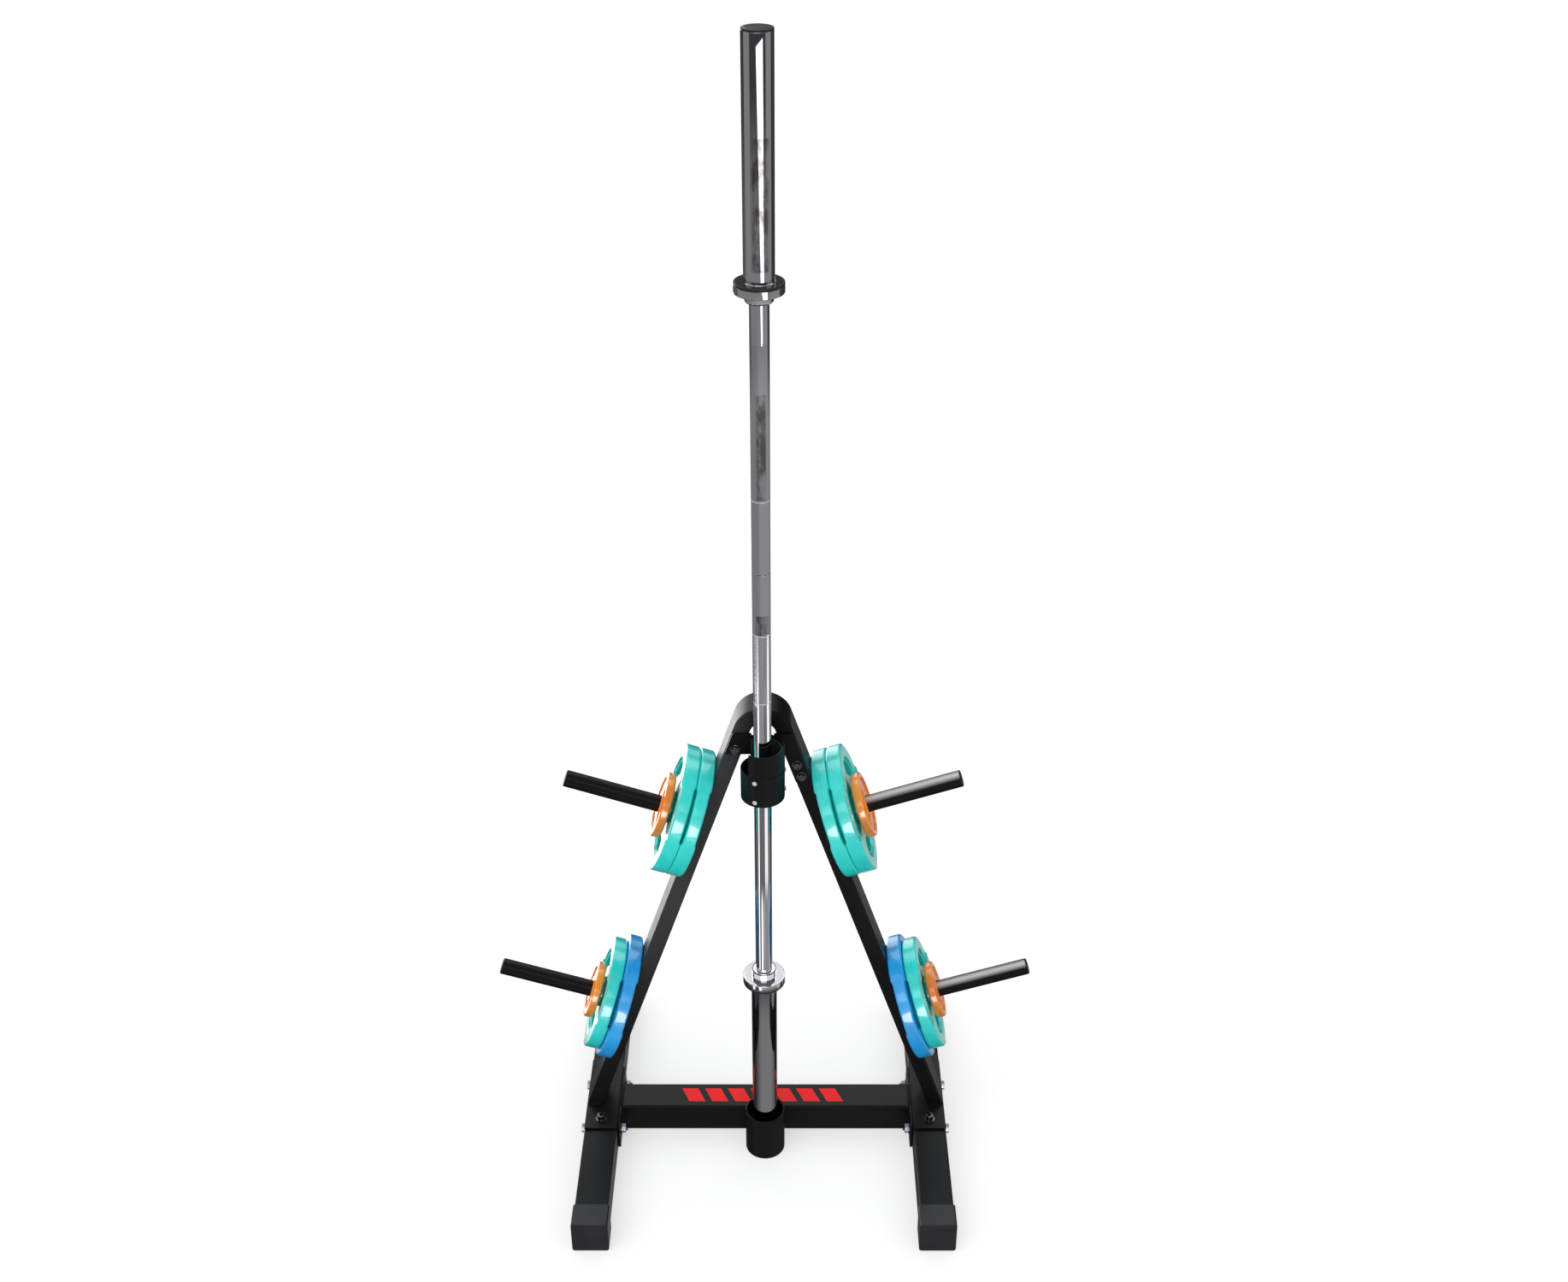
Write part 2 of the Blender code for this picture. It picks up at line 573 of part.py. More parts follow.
def build_socket():
    inside = SOCKET_RADIUS - SOCKET_WALL
    under = SOCKET_FLOOR - SOCKET_FLOOR_THICKNESS
    profile = ((0, SOCKET_FLOOR), (inside, SOCKET_FLOOR), (inside, SOCKET_HEIGHT),
               (SOCKET_RADIUS, SOCKET_HEIGHT), (SOCKET_RADIUS, SOCKET_LIFT), (inside, SOCKET_LIFT),
               (inside, under), (0, under))
    socket = turned_mesh("bar_socket", profile, GUIDE_STEPS)
    place("bar_socket", smooth(socket), BLACK_COAT, at(0, BAR_Y, 0))


def screw_heights():
    return LOCK_BOTTOM + SCREW_INSET, LOCK_TOP - SCREW_INSET


def build_guide():
    axis = at(0, BAR_Y, 0)
    inside = GUIDE_RADIUS - GUIDE_WALL
    solid_turn = 2 * pi - GUIDE_MOUTH
    steps = round(GUIDE_STEPS * solid_turn / (2 * pi))
    guard = sector_mesh("guide_guard", inside, GUIDE_RADIUS, GUARD_BOTTOM, GUARD_TOP, GUIDE_MOUTH_CENTRE + pi,
                        solid_turn, steps)
    place("guide_guard", smooth(guard), BLACK_COAT, axis)
    bore = LINER_RADIUS - LINER_WALL
    liner = sector_mesh("guide_liner", bore, LINER_RADIUS, LOCK_BOTTOM + FIT, GUARD_TOP - LINER_SETBACK,
                        GUIDE_MOUTH_CENTRE + pi, solid_turn, steps)
    floor = LINER_RADIUS - GROOVE_DEPTH
    grooves = []
    for z in screw_heights():
        low, high = z - GROOVE_HALF, z + GROOVE_HALF
        groove = ((GUIDE_RADIUS, high), (GUIDE_RADIUS, low), (floor, low), (floor, high))
        grooves.append((turned_mesh("liner_groove", groove, GUIDE_STEPS, True), Matrix()))
    liner = shaped("guide_liner", blank("guide_liner", liner), cut=grooves)
    place("guide_liner", smooth(liner), BLACK_PLASTIC, axis)
    ring_turn = 2 * pi - LOCK_GAP
    steps = round(GUIDE_STEPS * ring_turn / (2 * pi))
    ring = sector_mesh("lock_ring", inside, GUIDE_RADIUS, LOCK_BOTTOM, LOCK_TOP, LOCK_GAP_CENTRE + pi,
                       ring_turn, steps)
    drill = rod_mesh("screw_drill", SCREW_RADIUS + FIT, inside - GUIDE_WALL, GUIDE_RADIUS + GUIDE_WALL, 8)
    holes = [(drill, matrix) for _, matrix in screw_places()]
    ring = shaped("lock_ring", blank("lock_ring", ring), cut=holes)
    place("lock_ring", smooth(ring), BLACK_COAT, axis)
    tip = floor + 2 * FIT
    seat = GUIDE_RADIUS + FIT
    screw = turned_mesh("lock_screw", ((0, seat + SCREW_HEAD), (SCREW_HEAD_FLAT, seat + SCREW_HEAD_EDGE),
                                       (SCREW_HEAD_RADIUS, seat), (SCREW_RADIUS, seat), (SCREW_RADIUS, tip),
                                       (0, tip)), SMALL_STEPS)
    for name, matrix in screw_places():
        place("lock_screw_" + name, smooth(screw), ZINC, axis @ matrix)


def screw_places():
    """Name and matrix of each ring screw about the bar's axis: local Z points out of the ring."""
    for height, row in zip(screw_heights(), ("low", "high")):
        for column, turn in zip(("front", "right", "rear"), SCREW_COLUMNS):
            yield f"{row}_{column}", Matrix.Rotation(turn, 4, "Z") @ along_front(0, 0, height)


# Brackets that carry the guide

def bracket_bolt_places():
    for side, drops in ((-1, LEFT_BOLT_DROPS), (1, RIGHT_BOLT_DROPS)):
        for drop in drops:
            z = FRAME_HEIGHT - drop
            yield side * (leg_outer(z) + leg_inner(z)) / 2, z


def build_brackets():
    top = FRAME_HEIGHT - BRACKET_TOP
    shelf = top - LEFT_BRACKET_HEIGHT
    back = BRACKET_FRONT + BRACKET
    drill = rod_mesh("bracket_drill", BRACKET_BOLT_RADIUS + FIT, -BRACKET, 2 * BRACKET)
    for side, side_name, height in ((-1, "left", LEFT_BRACKET_HEIGHT), (1, "right", RIGHT_BRACKET_HEIGHT)):
        low = top - height
        outline = [(BRACKET_REACH, top), (leg_outer(top) - BRACKET_EDGE, top)]
        outline.append((leg_outer(low) - BRACKET_EDGE, low))
        if low < shelf:
            outline += [(leg_inner(low) + BRACKET_EDGE, low), (leg_inner(shelf) + BRACKET_EDGE, shelf)]
        outline.append((BRACKET_REACH, shelf))
        name = "guide_bracket_" + side_name
        uncut = blank(name, prism_mesh(name, [(side * x, z) for x, z in outline], BRACKET_FRONT, back))
        holes = [(drill, along_front(x, back, z)) for x, z in bracket_bolt_places() if x * side > 0]
        place(name, shaped(name, uncut, cut=holes), BLACK_COAT)


def build_bracket_bolts():
    seat = BRACKET + FIT
    tip = -BRACKET_BOLT_LENGTH
    profile = ((0, seat + WASHER), (BRACKET_WASHER_RADIUS, seat + WASHER), (BRACKET_WASHER_RADIUS, seat),
               (BRACKET_BOLT_RADIUS, seat), (BRACKET_BOLT_RADIUS, tip), (0, tip))
    head = rod_mesh("bracket_bolt_head", BRACKET_BOLT_HEAD_RADIUS, seat + WASHER / 2,
                    seat + WASHER + BRACKET_BOLT_HEAD, 6)
    bolt = turned_mesh("bracket_bolt", profile, SMALL_STEPS, join=((head, Matrix()),))
    for (x, z), name in zip(bracket_bolt_places(), ("left", "upper_right", "lower_right")):
        place("bracket_bolt_" + name, bolt, ZINC, along_front(x, BRACKET_FRONT + BRACKET, z))


build_feet()
build_beam()
build_saddles()
build_foot_bolts()
build_saddle_bolts()
build_a_frame()
build_pegs()
build_plates()
build_bar()
build_socket()
build_guide()
build_brackets()
build_bracket_bolts()
bpy.context.view_layer.update()
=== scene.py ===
from math import asin, atan2, cos, hypot, pi, radians, sin, sqrt, tan

import bmesh
import bpy
from mathutils import Matrix, Vector


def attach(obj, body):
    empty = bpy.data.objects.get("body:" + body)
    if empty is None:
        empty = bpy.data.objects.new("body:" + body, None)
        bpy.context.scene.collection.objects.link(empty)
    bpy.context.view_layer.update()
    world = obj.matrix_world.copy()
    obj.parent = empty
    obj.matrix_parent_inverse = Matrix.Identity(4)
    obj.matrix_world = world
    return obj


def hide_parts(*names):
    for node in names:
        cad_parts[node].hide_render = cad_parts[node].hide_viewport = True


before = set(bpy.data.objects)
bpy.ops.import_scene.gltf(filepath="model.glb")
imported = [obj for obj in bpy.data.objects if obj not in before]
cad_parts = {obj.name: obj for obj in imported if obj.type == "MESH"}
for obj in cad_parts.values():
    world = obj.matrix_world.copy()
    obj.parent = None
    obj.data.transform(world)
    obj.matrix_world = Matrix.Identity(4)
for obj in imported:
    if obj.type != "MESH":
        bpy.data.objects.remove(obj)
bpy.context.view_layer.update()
scene = bpy.context.scene
frontLit = bpy.data.collections.new("frontLit")
scene.view_settings.view_transform = "Standard"
print("frame loaded,", len(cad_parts), "nodes")

# camera and studio
cameraSettings = {
    "place": (0.0406, -2.7364, 2.8016),
    "tilt": 59.332,  # degrees from looking straight down
    "turn": 0.04,
    "lens": 40.91,  # on a 36 mm sensor
}
studio = {
    "floorSize": 30.0,
    "floorTone": 0.52,
    "floorGlow": 0.53,  # what the camera sees on top of the lit floor
    "floorBounce": 0.3,  # what the floor throws back at the object
    "skyLevel": 0.92,  # light on matt surfaces
    "lampFrom": (-1.9, -2.2, 3.6),
    "lampAngle": 55,  # degrees across, which keeps its shadow soft
    "lampPower": 0.6,
    "frontFrom": (0.0, -1.0, 0.05),
    "frontAngle": 26,
    "frontPower": 2.1,
}
# what polished and coated surfaces mirror from below, and what is added between two heights in degrees
mirrorLevel = 0.02
mirrorRises = ((0.03, -60, -8), (0.20, 24, 60))
# panels: level, azimuth span and height span in degrees, soft edges
mirrorPanels = (
    (0.2, -108, -57, -22.5, 20, 3, 2),
    (0.22, 58, 102, -22.5, 20, 4, 2),
    (0.2, -57, 58, -23, -15.5, 3, 2.5),
    (0.06, -160, -108, -23, -15.5, 4, 2.5),
    (0.22, -150, 150, -32, -22.5, 10, 1.5),
    (0.1, -20, 110, -32, -21, 20, 2),
    (0.14, -150, 18, -41, -32, 5, 1),
    (0.16, -35, 60, -35.3, -32, 3, 0.6),
    (1.3, -62, -40, -35.3, -32.6, 1.5, 0.3),
    (1.2, 62, 75, -35.3, -32, 1.5, 0.6),
    (0.25, 75, 140, -42, -32, 4, 1),
    (2.2, -62, -51, -41.5, -35.3, 1.5, 0.5),
    (1.2, 23, 66, -38.6, -35.6, 2, 0.6),
    (2.2, -27, -12, -41.5, -38.9, 1.5, 0.5),
    (0.3, -10, 95, -41.5, -38.8, 3, 0.5),
    (0.2, -60, 95, -55, -42, 45, 1),
    (0.5, -142, -58, 53, 68, 5, 3),
    (3.0, -30, 22, 28, 43, 6, 2.5),
    (2.3, 135, 225, 37, 62, 10, 4),
    (-1.45, 176.5, 183.5, 37, 62, 1.5, 4),
    (0.5, 150, 175, -60, -25, 5, 4),
    (0.9, 158, 172, 6, 24, 3, 3),
)
# what only a clean mirror shows
cleanPanels = (
    (2.5, 77, 91, -34.5, -30.2, 2, 0.3),
    (1.0, -61, -55, -32.6, -30.7, 1.5, 0.2),
    (1.1, -150, 150, 35.0, 42.0, 10, 1.0),
)
cleanBlotch = {
    "panel": (2.6, -108, -44, -32.6, -31.95, 3, 0.1),
    "warpScale": 9.0, "warpAcross": 50, "warpUp": 1.0,
}
# what only the coated surfaces show
coatPanels = (
    (2.2, 185, 202, -25, 24, 4, 4),
    (5.0, 202, 222, -25, 8, 4, 6),
    (2.6, 185, 220, -36.8, -25, 5, 0.9),
)
# the long light strip on the bar: the same values, the slant of its left end and the slope of its top
mirrorStrip = (2.2, -10, 37, -21.2, -11.94, 1, 0.05, 3.2, 0.0055)


def operator(operation, swapped=False):
    def apply(first, second):
        return first.maths(operation, *((second, first) if swapped else (first, second)))
    return apply


class Wire:
    __add__ = __radd__ = operator("ADD")
    __mul__ = __rmul__ = operator("MULTIPLY")
    __sub__ = operator("SUBTRACT")
    __rsub__ = operator("SUBTRACT", True)
    __truediv__ = operator("DIVIDE")

    def __init__(self, socket):
        self.socket = socket

    def node(self, kind, values, output=0, **settings):
        tree = self.socket.id_data
        made = tree.nodes.new(kind)
        for name, value in settings.items():
            setattr(made, name, value)
        for name, value in values.items():
            if isinstance(value, Wire):
                tree.links.new(value.socket, made.inputs[name])
            else:
                made.inputs[name].default_value = value
        return Wire(made.outputs[output])

    def maths(self, operation, first, second=0.0):
        return self.node("ShaderNodeMath", {0: first, 1: second}, operation=operation)

    def __neg__(self):
        return self * -1.0

    def axes(self):
        split = self.node("ShaderNodeSeparateXYZ", {0: self}).socket.node
        return [Wire(socket) for socket in split.outputs]

    def rise(self, low, high):
        return self.node("ShaderNodeMapRange", {0: self, 1: low, 2: high}, interpolation_type="SMOOTHSTEP")

    def span(self, low, high, soft):
        return self.rise(low - soft, low + soft) * (1 - self.rise(high - soft, high + soft))

    def noise(self, scale, detail=2.0, rough=0.5, stretch=(1, 1, 1)):
        placed = self.node("ShaderNodeMapping", {"Vector": self, "Scale": stretch})
        values = {"Vector": placed, "Scale": scale, "Detail": detail, "Roughness": rough}
        return self.node("ShaderNodeTexNoise", values)

    def mixed(self, first, second):
        return self.node("ShaderNodeMix", {0: self, 6: first, 7: second}, 2, data_type="RGBA")

    def bump(self, distance, strength=1.0):
        return self.node("ShaderNodeBump", {"Height": self, "Distance": distance, "Strength": strength})

    def panel(self, height, level, left, right, low, high, softAcross, softUp):
        return level * self.span(left, right, softAcross) * height.span(low, high, softUp)


def newFinish(name):
    material = bpy.data.materials.new(name)
    material.use_nodes = True
    start = Wire(material.node_tree.nodes.new("ShaderNodeTexCoord").outputs["Object"])
    return material, start


def setFinish(material, values):
    surface = material.node_tree.nodes["Principled BSDF"]
    for name, value in values.items():
        if isinstance(value, Wire):
            material.node_tree.links.new(value.socket, surface.inputs[name])
        else:
            surface.inputs[name].default_value = value
    return material


def linked(name, data):
    thing = bpy.data.objects.new(name, data)
    scene.collection.objects.link(thing)
    return thing


def meshFrom(bm, name):
    mesh = bpy.data.meshes.new(name)
    bm.to_mesh(mesh)
    bm.free()
    return mesh


def buildCamera():
    data = bpy.data.cameras.new("photoCamera")
    data.lens = cameraSettings["lens"]
    data.sensor_fit = "HORIZONTAL"
    data.sensor_width = 36.0
    data.clip_end = 60.0
    camera = linked("photoCamera", data)
    camera.location = cameraSettings["place"]
    camera.rotation_euler = (radians(cameraSettings["tilt"]), 0, radians(cameraSettings["turn"]))
    scene.camera = camera


def buildWorld():
    world = bpy.data.worlds.new("studioWorld")
    world.use_nodes = True
    scene.world = world
    world.cycles.sampling_method = "NONE"
    nodes = world.node_tree.nodes
    direction = Wire(nodes.new("ShaderNodeTexCoord").outputs["Generated"])
    rays = nodes.new("ShaderNodeLightPath").outputs
    x, y, z = direction.axes()
    azimuth = x.maths("ARCTAN2", x, -y) * (180 / pi)
    height = z.maths("ARCSINE", z) * (180 / pi)
    mirror = mirrorLevel
    for added, low, high in mirrorRises:
        mirror = mirror + added * height.rise(low, high)
    # azimuth from 0 to 360, for the panels that reach past the rear
    around = azimuth + 360 * (1 - azimuth.rise(-0.01, 0.01))
    clean = Wire(rays["Is Singular Ray"])
    for panels, shown in ((mirrorPanels, 1), (cleanPanels, clean), (coatPanels, 1 - clean)):
        for panel in panels:
            mirror = mirror + shown * (azimuth if panel[2] <= 180 else around).panel(height, *panel)
    warp = direction.noise(cleanBlotch["warpScale"], 4, 0.6) - 0.5
    bent = azimuth + warp * cleanBlotch["warpAcross"]
    mirror = mirror + clean * bent.panel(height + warp * cleanBlotch["warpUp"], *cleanBlotch["panel"])
    level, left, right, low, high, softAcross, softUp, slant, slope = mirrorStrip
    slid = azimuth - (high - height) * slant
    across = slid.rise(left - softAcross, left + softAcross)
    across = across * (1 - azimuth.rise(right - softAcross, right + softAcross))
    up = (height + (right - azimuth) * slope).span(low, high, softUp)
    mirror = mirror + level * across * up
    camera = Wire(rays["Is Camera Ray"])
    glossy = Wire(rays["Is Glossy Ray"]) * (1 - camera)
    through = Wire(rays["Is Transmission Ray"])
    level = glossy * mirror + (1 - glossy) * (camera + through + (1 - camera) * studio["skyLevel"])
    nodes["Background"].inputs["Color"].default_value = (1, 1, 1, 1)
    world.node_tree.links.new(level.socket, nodes["Background"].inputs["Strength"])


def buildFloor():
    bm = bmesh.new()
    bmesh.ops.create_grid(bm, x_segments=1, y_segments=1, size=studio["floorSize"] / 2)
    mesh = meshFrom(bm, "studioFloor")
    floor = linked("studioFloor", mesh)
    floor.visible_glossy = False
    material = newFinish("paleFloor")[0]
    camera = Wire(material.node_tree.nodes.new("ShaderNodeLightPath").outputs["Is Camera Ray"])
    setFinish(material, {
        "Base Color": (*[studio["floorTone"]] * 3, 1), "Roughness": 1.0, "Specular IOR Level": 0.0,
        "Emission Color": (1, 1, 1, 1),
        "Emission Strength": camera * studio["floorGlow"] + (1 - camera) * studio["floorBounce"],
    })
    mesh.materials.append(material)


def buildLamp(name, kind):
    data = bpy.data.lights.new(name, "SUN")
    data.energy = studio[kind + "Power"]
    data.angle = radians(studio[kind + "Angle"])
    lamp = linked(name, data)
    lamp.location = studio[kind + "From"]
    lamp.rotation_euler = (-lamp.location).to_track_quat("-Z", "Y").to_euler()
    lamp.visible_camera = False
    return lamp


def buildLamps():
    key = buildLamp("softKey", "lamp")
    key.visible_glossy = False
    front = buildLamp("frontSheen", "front")
    front.visible_diffuse = False  # a mirror image alone
    front.light_linking.receiver_collection = frontLit


buildCamera()
buildWorld()
buildFloor()
buildLamps()
print("studio ready")


# finishes
coat = {
    "dark": (0.0034, 0.0034, 0.004, 1),
    "light": (0.0058, 0.0058, 0.0066, 1),
    "dust": (0.02, 0.02, 0.021, 1),
    # the pale colour is a painted sheen, put where light falls on the left leg, the arch and the right pegs
    "pale": (0.042, 0.042, 0.045, 1),
    "grain": (1500.0, 2), "peel": (420.0, 3), "cloud": (7.0, 5, 0.62), "scuff": (60.0, 6, 0.7, (1, 1, 0.25)),
    "grainDepth": 0.00035, "rough": (0.32, 0.16, 0.12), "footRough": 0.5, "specular": 0.22,
}
# plain red blocks on the beam's top: half the row's length, and how much of the pitch each block fills
stripes = {
    "red": (0.9, 0.003, 0.005, 1), "reach": 0.168, "halfDepth": 0.0185, "height": 0.0685,
    "pitch": 0.048, "filled": 0.7, "slant": 0.45, "soft": 0.0004, "endSoft": 0.0005,
}
# the top of the right pegs carries a painted highlight, a pale band where light falls: across and up turn a
# point's x and z into its height above the peg's axis
pegTopSheen = {
    "pale": (0.6, 0.6, 0.61, 1), "across": -0.31996, "up": 0.94743,
    "lower": 0.23221, "upper": 0.71563, "between": 0.6,
    "band": (radians(50), radians(90), radians(22)), "rough": 0.34, "cloudRough": 0.12,
}


def coatFinish(name, marked=False, paintedLeftSheen=False, scuffAndSheen=False):
    material, start = newFinish(name)
    x, y, z = start.axes()
    grain, peel, cloud, scuffs = (start.noise(*coat[kind]) for kind in ("grain", "peel", "cloud", "scuff"))
    scuffs = scuffs.rise(0.62, 0.8)
    colour = cloud.rise(0.3, 0.7).mixed(coat["dark"], coat["light"])
    colour = (scuffs * 0.5).mixed(colour, coat["dust"])
    plain, clouded, scuffed = coat["rough"]
    rough = plain + cloud * clouded + scuffs * scuffed
    # painted sheen: the left leg and the left of the arch are paler where light falls on them; the foot of the
    # left leg is also rougher
    if paintedLeftSheen:
        left = (-x).rise(0.0, 0.06)
        colour = (left * z.rise(0.1, 0.7)).mixed(colour, coat["pale"])
        rough = rough + left * (1 - z.rise(0.14, 0.26)) * coat["footRough"]
    # painted highlight: a pale band along the top of the right pegs only, where light falls on them
    if scuffAndSheen:
        upper = z.rise(pegTopSheen["between"], pegTopSheen["between"] + 0.01)
        level = pegTopSheen["lower"] + upper * (pegTopSheen["upper"] - pegTopSheen["lower"])
        over = x * pegTopSheen["across"] + z * pegTopSheen["up"] - level
        worn = over.maths("ARCTAN2", over, -y).span(*pegTopSheen["band"])
        worn = worn * x.rise(0.0, 0.1) * (0.7 + cloud * 0.3)
        colour = worn.mixed(cloud.mixed(coat["dark"], coat["light"]), pegTopSheen["pale"])
        rough = pegTopSheen["rough"] + cloud * pegTopSheen["cloudRough"]
    if marked:
        slid = x + y * stripes["slant"]
        part = (slid + stripes["reach"]) / stripes["pitch"]
        part = part.maths("FRACT", part)
        mask = part.rise(0.0, 0.02) * (1 - part.rise(stripes["filled"], stripes["filled"] + 0.02))
        mask = mask * slid.span(-stripes["reach"], stripes["reach"], stripes["endSoft"])
        mask = mask * y.span(-stripes["halfDepth"], stripes["halfDepth"], stripes["soft"])
        mask = mask * z.rise(stripes["height"] - stripes["soft"], stripes["height"])
        worn = mask * (1 - start.noise(90.0, 6, 0.75).rise(0.68, 0.8))
        colour = worn.mixed(colour, stripes["red"])
        rough = rough - mask * 0.08
    return setFinish(material, {
        "Base Color": colour, "Roughness": rough, "Specular IOR Level": coat["specular"],
        "Normal": (grain * 0.6 + peel * 0.4).bump(coat["grainDepth"], 0.12),
    })


moulded = {
    "dark": (0.015, 0.0152, 0.0178, 1),
    "light": (0.022, 0.0222, 0.0262, 1),
    "grain": (900.0, 3, 0.6), "cloud": (18.0, 4, 0.6), "grainDepth": 0.0004,
    "rough": 0.34, "cloudRough": 0.12, "specular": 0.36,
}


def mouldedFinish(name):
    material, start = newFinish(name)
    grain = start.noise(*moulded["grain"])
    cloud = start.noise(*moulded["cloud"])
    return setFinish(material, {
        "Base Color": cloud.rise(0.3, 0.7).mixed(moulded["dark"], moulded["light"]),
        "Roughness": moulded["rough"] + cloud * moulded["cloudRough"], "Specular IOR Level": moulded["specular"],
        "Normal": grain.bump(moulded["grainDepth"], 0.12),
    })


# the upright bar: its finish reads these sizes too
bar = {
    "y": -0.0733, "bottom": 0.068, "sleeve": 0.025, "sleeveLength": 0.3814, "play": 0.0004,
    "collar": 0.041, "collarThickness": 0.018, "band": 0.0048, "hub": 0.0235, "hubLength": 0.016,
    "shaft": 0.0163, "spigot": 0.014, "between": 1.387, "capHead": 0.004, "capStem": 0.012,
    "bandDepth": 0.003, "notches": (-104, -82, 82, 104),
    "rings": (1.4965, 1.36, 1.2392, 1.1008),
}
polish = {
    "bright": (0.72, 0.715, 0.76, 1),
    # the dark brown patch colour stands for smudging and also for a painted dark reflection
    "worn": (0.15, 0.125, 0.125, 1),
    "satin": (0.64, 0.635, 0.68, 1),
    # the ring colour is a painted highlight line along some of the shaft's grooves
    "ring": (0.8, 0.8, 0.8, 1),
    "knurl": (1.1008, 1.2392, 0.0008),  # heights, and how soft the ends are
    "satinZone": (1.2392, 1.7716, 0.0006),
    "smudgeAndShadeShaft": ((1.5, 1.6878, 0.4), (1.242, 1.28, 0.6)),
    "smudgeAndShadeSleeve": ((1.893, 2.098, 0.42),),  # heights, and half the angle of the darker patch
    "wornRough": 0.02, "cloudRough": 0.03,
    "cloud": (9.0, 5, 0.65), "smear": (55.0, 6, 0.72, (1, 1, 0.35)), "streak": (380.0, 3, 0.6, (1, 1, 0.03)),
    "ringHalf": 0.0005, "ringSoft": 0.0002,
    "ringed": (0, 2, 3),  # of the bar's rings, the ones with a painted highlight line
    "cutTurns": 34, "cutPitch": 2600, "cutDepth": 0.035, "streakDepth": 0.05,
}


def chromeFinish(name, shaft):
    material, start = newFinish(name)
    x, y, z = start.axes()
    turn = x.maths("ARCTAN2", x, bar["y"] - y)
    cloud, smears, streaks = (start.noise(*polish[kind]) for kind in ("cloud", "smear", "streak"))
    # darker, rougher patches on the front of the bar: smudges, whose dark brown colour is also a painted dark
    # reflection
    worn = 0.0
    for low, high, half in polish["smudgeAndShadeShaft" if shaft else "smudgeAndShadeSleeve"]:
        zone = z.span(low, high, 0.0012) * turn.span(-half, half * 1.55, 0.16)
        worn = worn + zone * (0.25 + 0.75 * smears.rise(0.36, 0.6))
    colour = (worn * 0.9).mixed(polish["bright"], polish["worn"])
    values = {"Metallic": 1.0, "Roughness": worn * (polish["wornRough"] + cloud * polish["cloudRough"])}
    if shaft:
        satin = z.span(*polish["satinZone"])
        colour = (satin * 0.8).mixed(colour, (worn * 0.9).mixed(polish["satin"], polish["worn"]))
        cuts = 0.0
        for way in (1, -1):
            phase = turn * polish["cutTurns"] + z * (way * polish["cutPitch"])
            cuts = cuts + phase.maths("SINE", phase)
        # painted highlight: pale, not metallic lines along some of the shaft's grooves
        rings = 0.0
        for index in polish["ringed"]:
            ring = bar["rings"][index]
            rings = rings + z.span(ring - polish["ringHalf"], ring + polish["ringHalf"], polish["ringSoft"])
        colour = rings.mixed(colour, polish["ring"])
        values["Metallic"] = 1 - rings
        knurl = cuts * polish["cutDepth"] * z.span(*polish["knurl"])
        values["Normal"] = (knurl + streaks * polish["streakDepth"] * (1 + satin)).bump(0.0004, 0.5)
    else:
        values["Normal"] = (streaks * 0.5 + smears * 0.5).bump(0.0001, 0.012)
    return setFinish(material, {"Base Color": colour, **values})


plated = {
    "bright": ((0.74, 0.75, 0.77, 1), (0.92, 0.93, 0.95, 1)),
    "black": ((0.08, 0.09, 0.105, 1), (0.18, 0.2, 0.23, 1)),
    "metallic": {"bright": 0.5, "black": 1.0},
}


def zincFinish(name, tone):
    material, start = newFinish(name)
    spangle = start.noise(420.0, 4, 0.6)
    colour = spangle.rise(0.35, 0.65).mixed(*plated[tone])
    return setFinish(material, {
        "Base Color": colour, "Metallic": plated["metallic"][tone], "Roughness": 0.18 + spangle * 0.12,
        "Normal": start.noise(1400.0, 3).bump(0.0002, 0.2),
    })


vinyl = {
    # each colour: plain, deep, and a paler tone for scuffs and for the painted highlight streaks along the rims
    "teal": ((0.013, 0.74, 0.68, 1), (0.01, 0.6, 0.56, 1), (0.34, 0.9, 0.86, 1)),
    "blue": ((0.008, 0.37, 0.84, 1), (0.006, 0.29, 0.72, 1), (0.26, 0.58, 0.92, 1)),
    "orange": ((1.0, 0.305, 0.018, 1), (0.86, 0.19, 0.008, 1), (1.0, 0.6, 0.26, 1)),
    "grain": (700.0, 3, 0.6), "peel": (120.0, 3, 0.5), "cloud": (14.0, 5, 0.6), "scuff": (75.0, 7, 0.75),
    "line": (850.0, 2, 0.6), "lineSpread": 0.05,  # the fine lines round a plate's rim
    "rough": (0.26, 0.12, 0.16), "specular": 0.5, "lacquer": 0.8, "lacquerRough": 0.07,
}


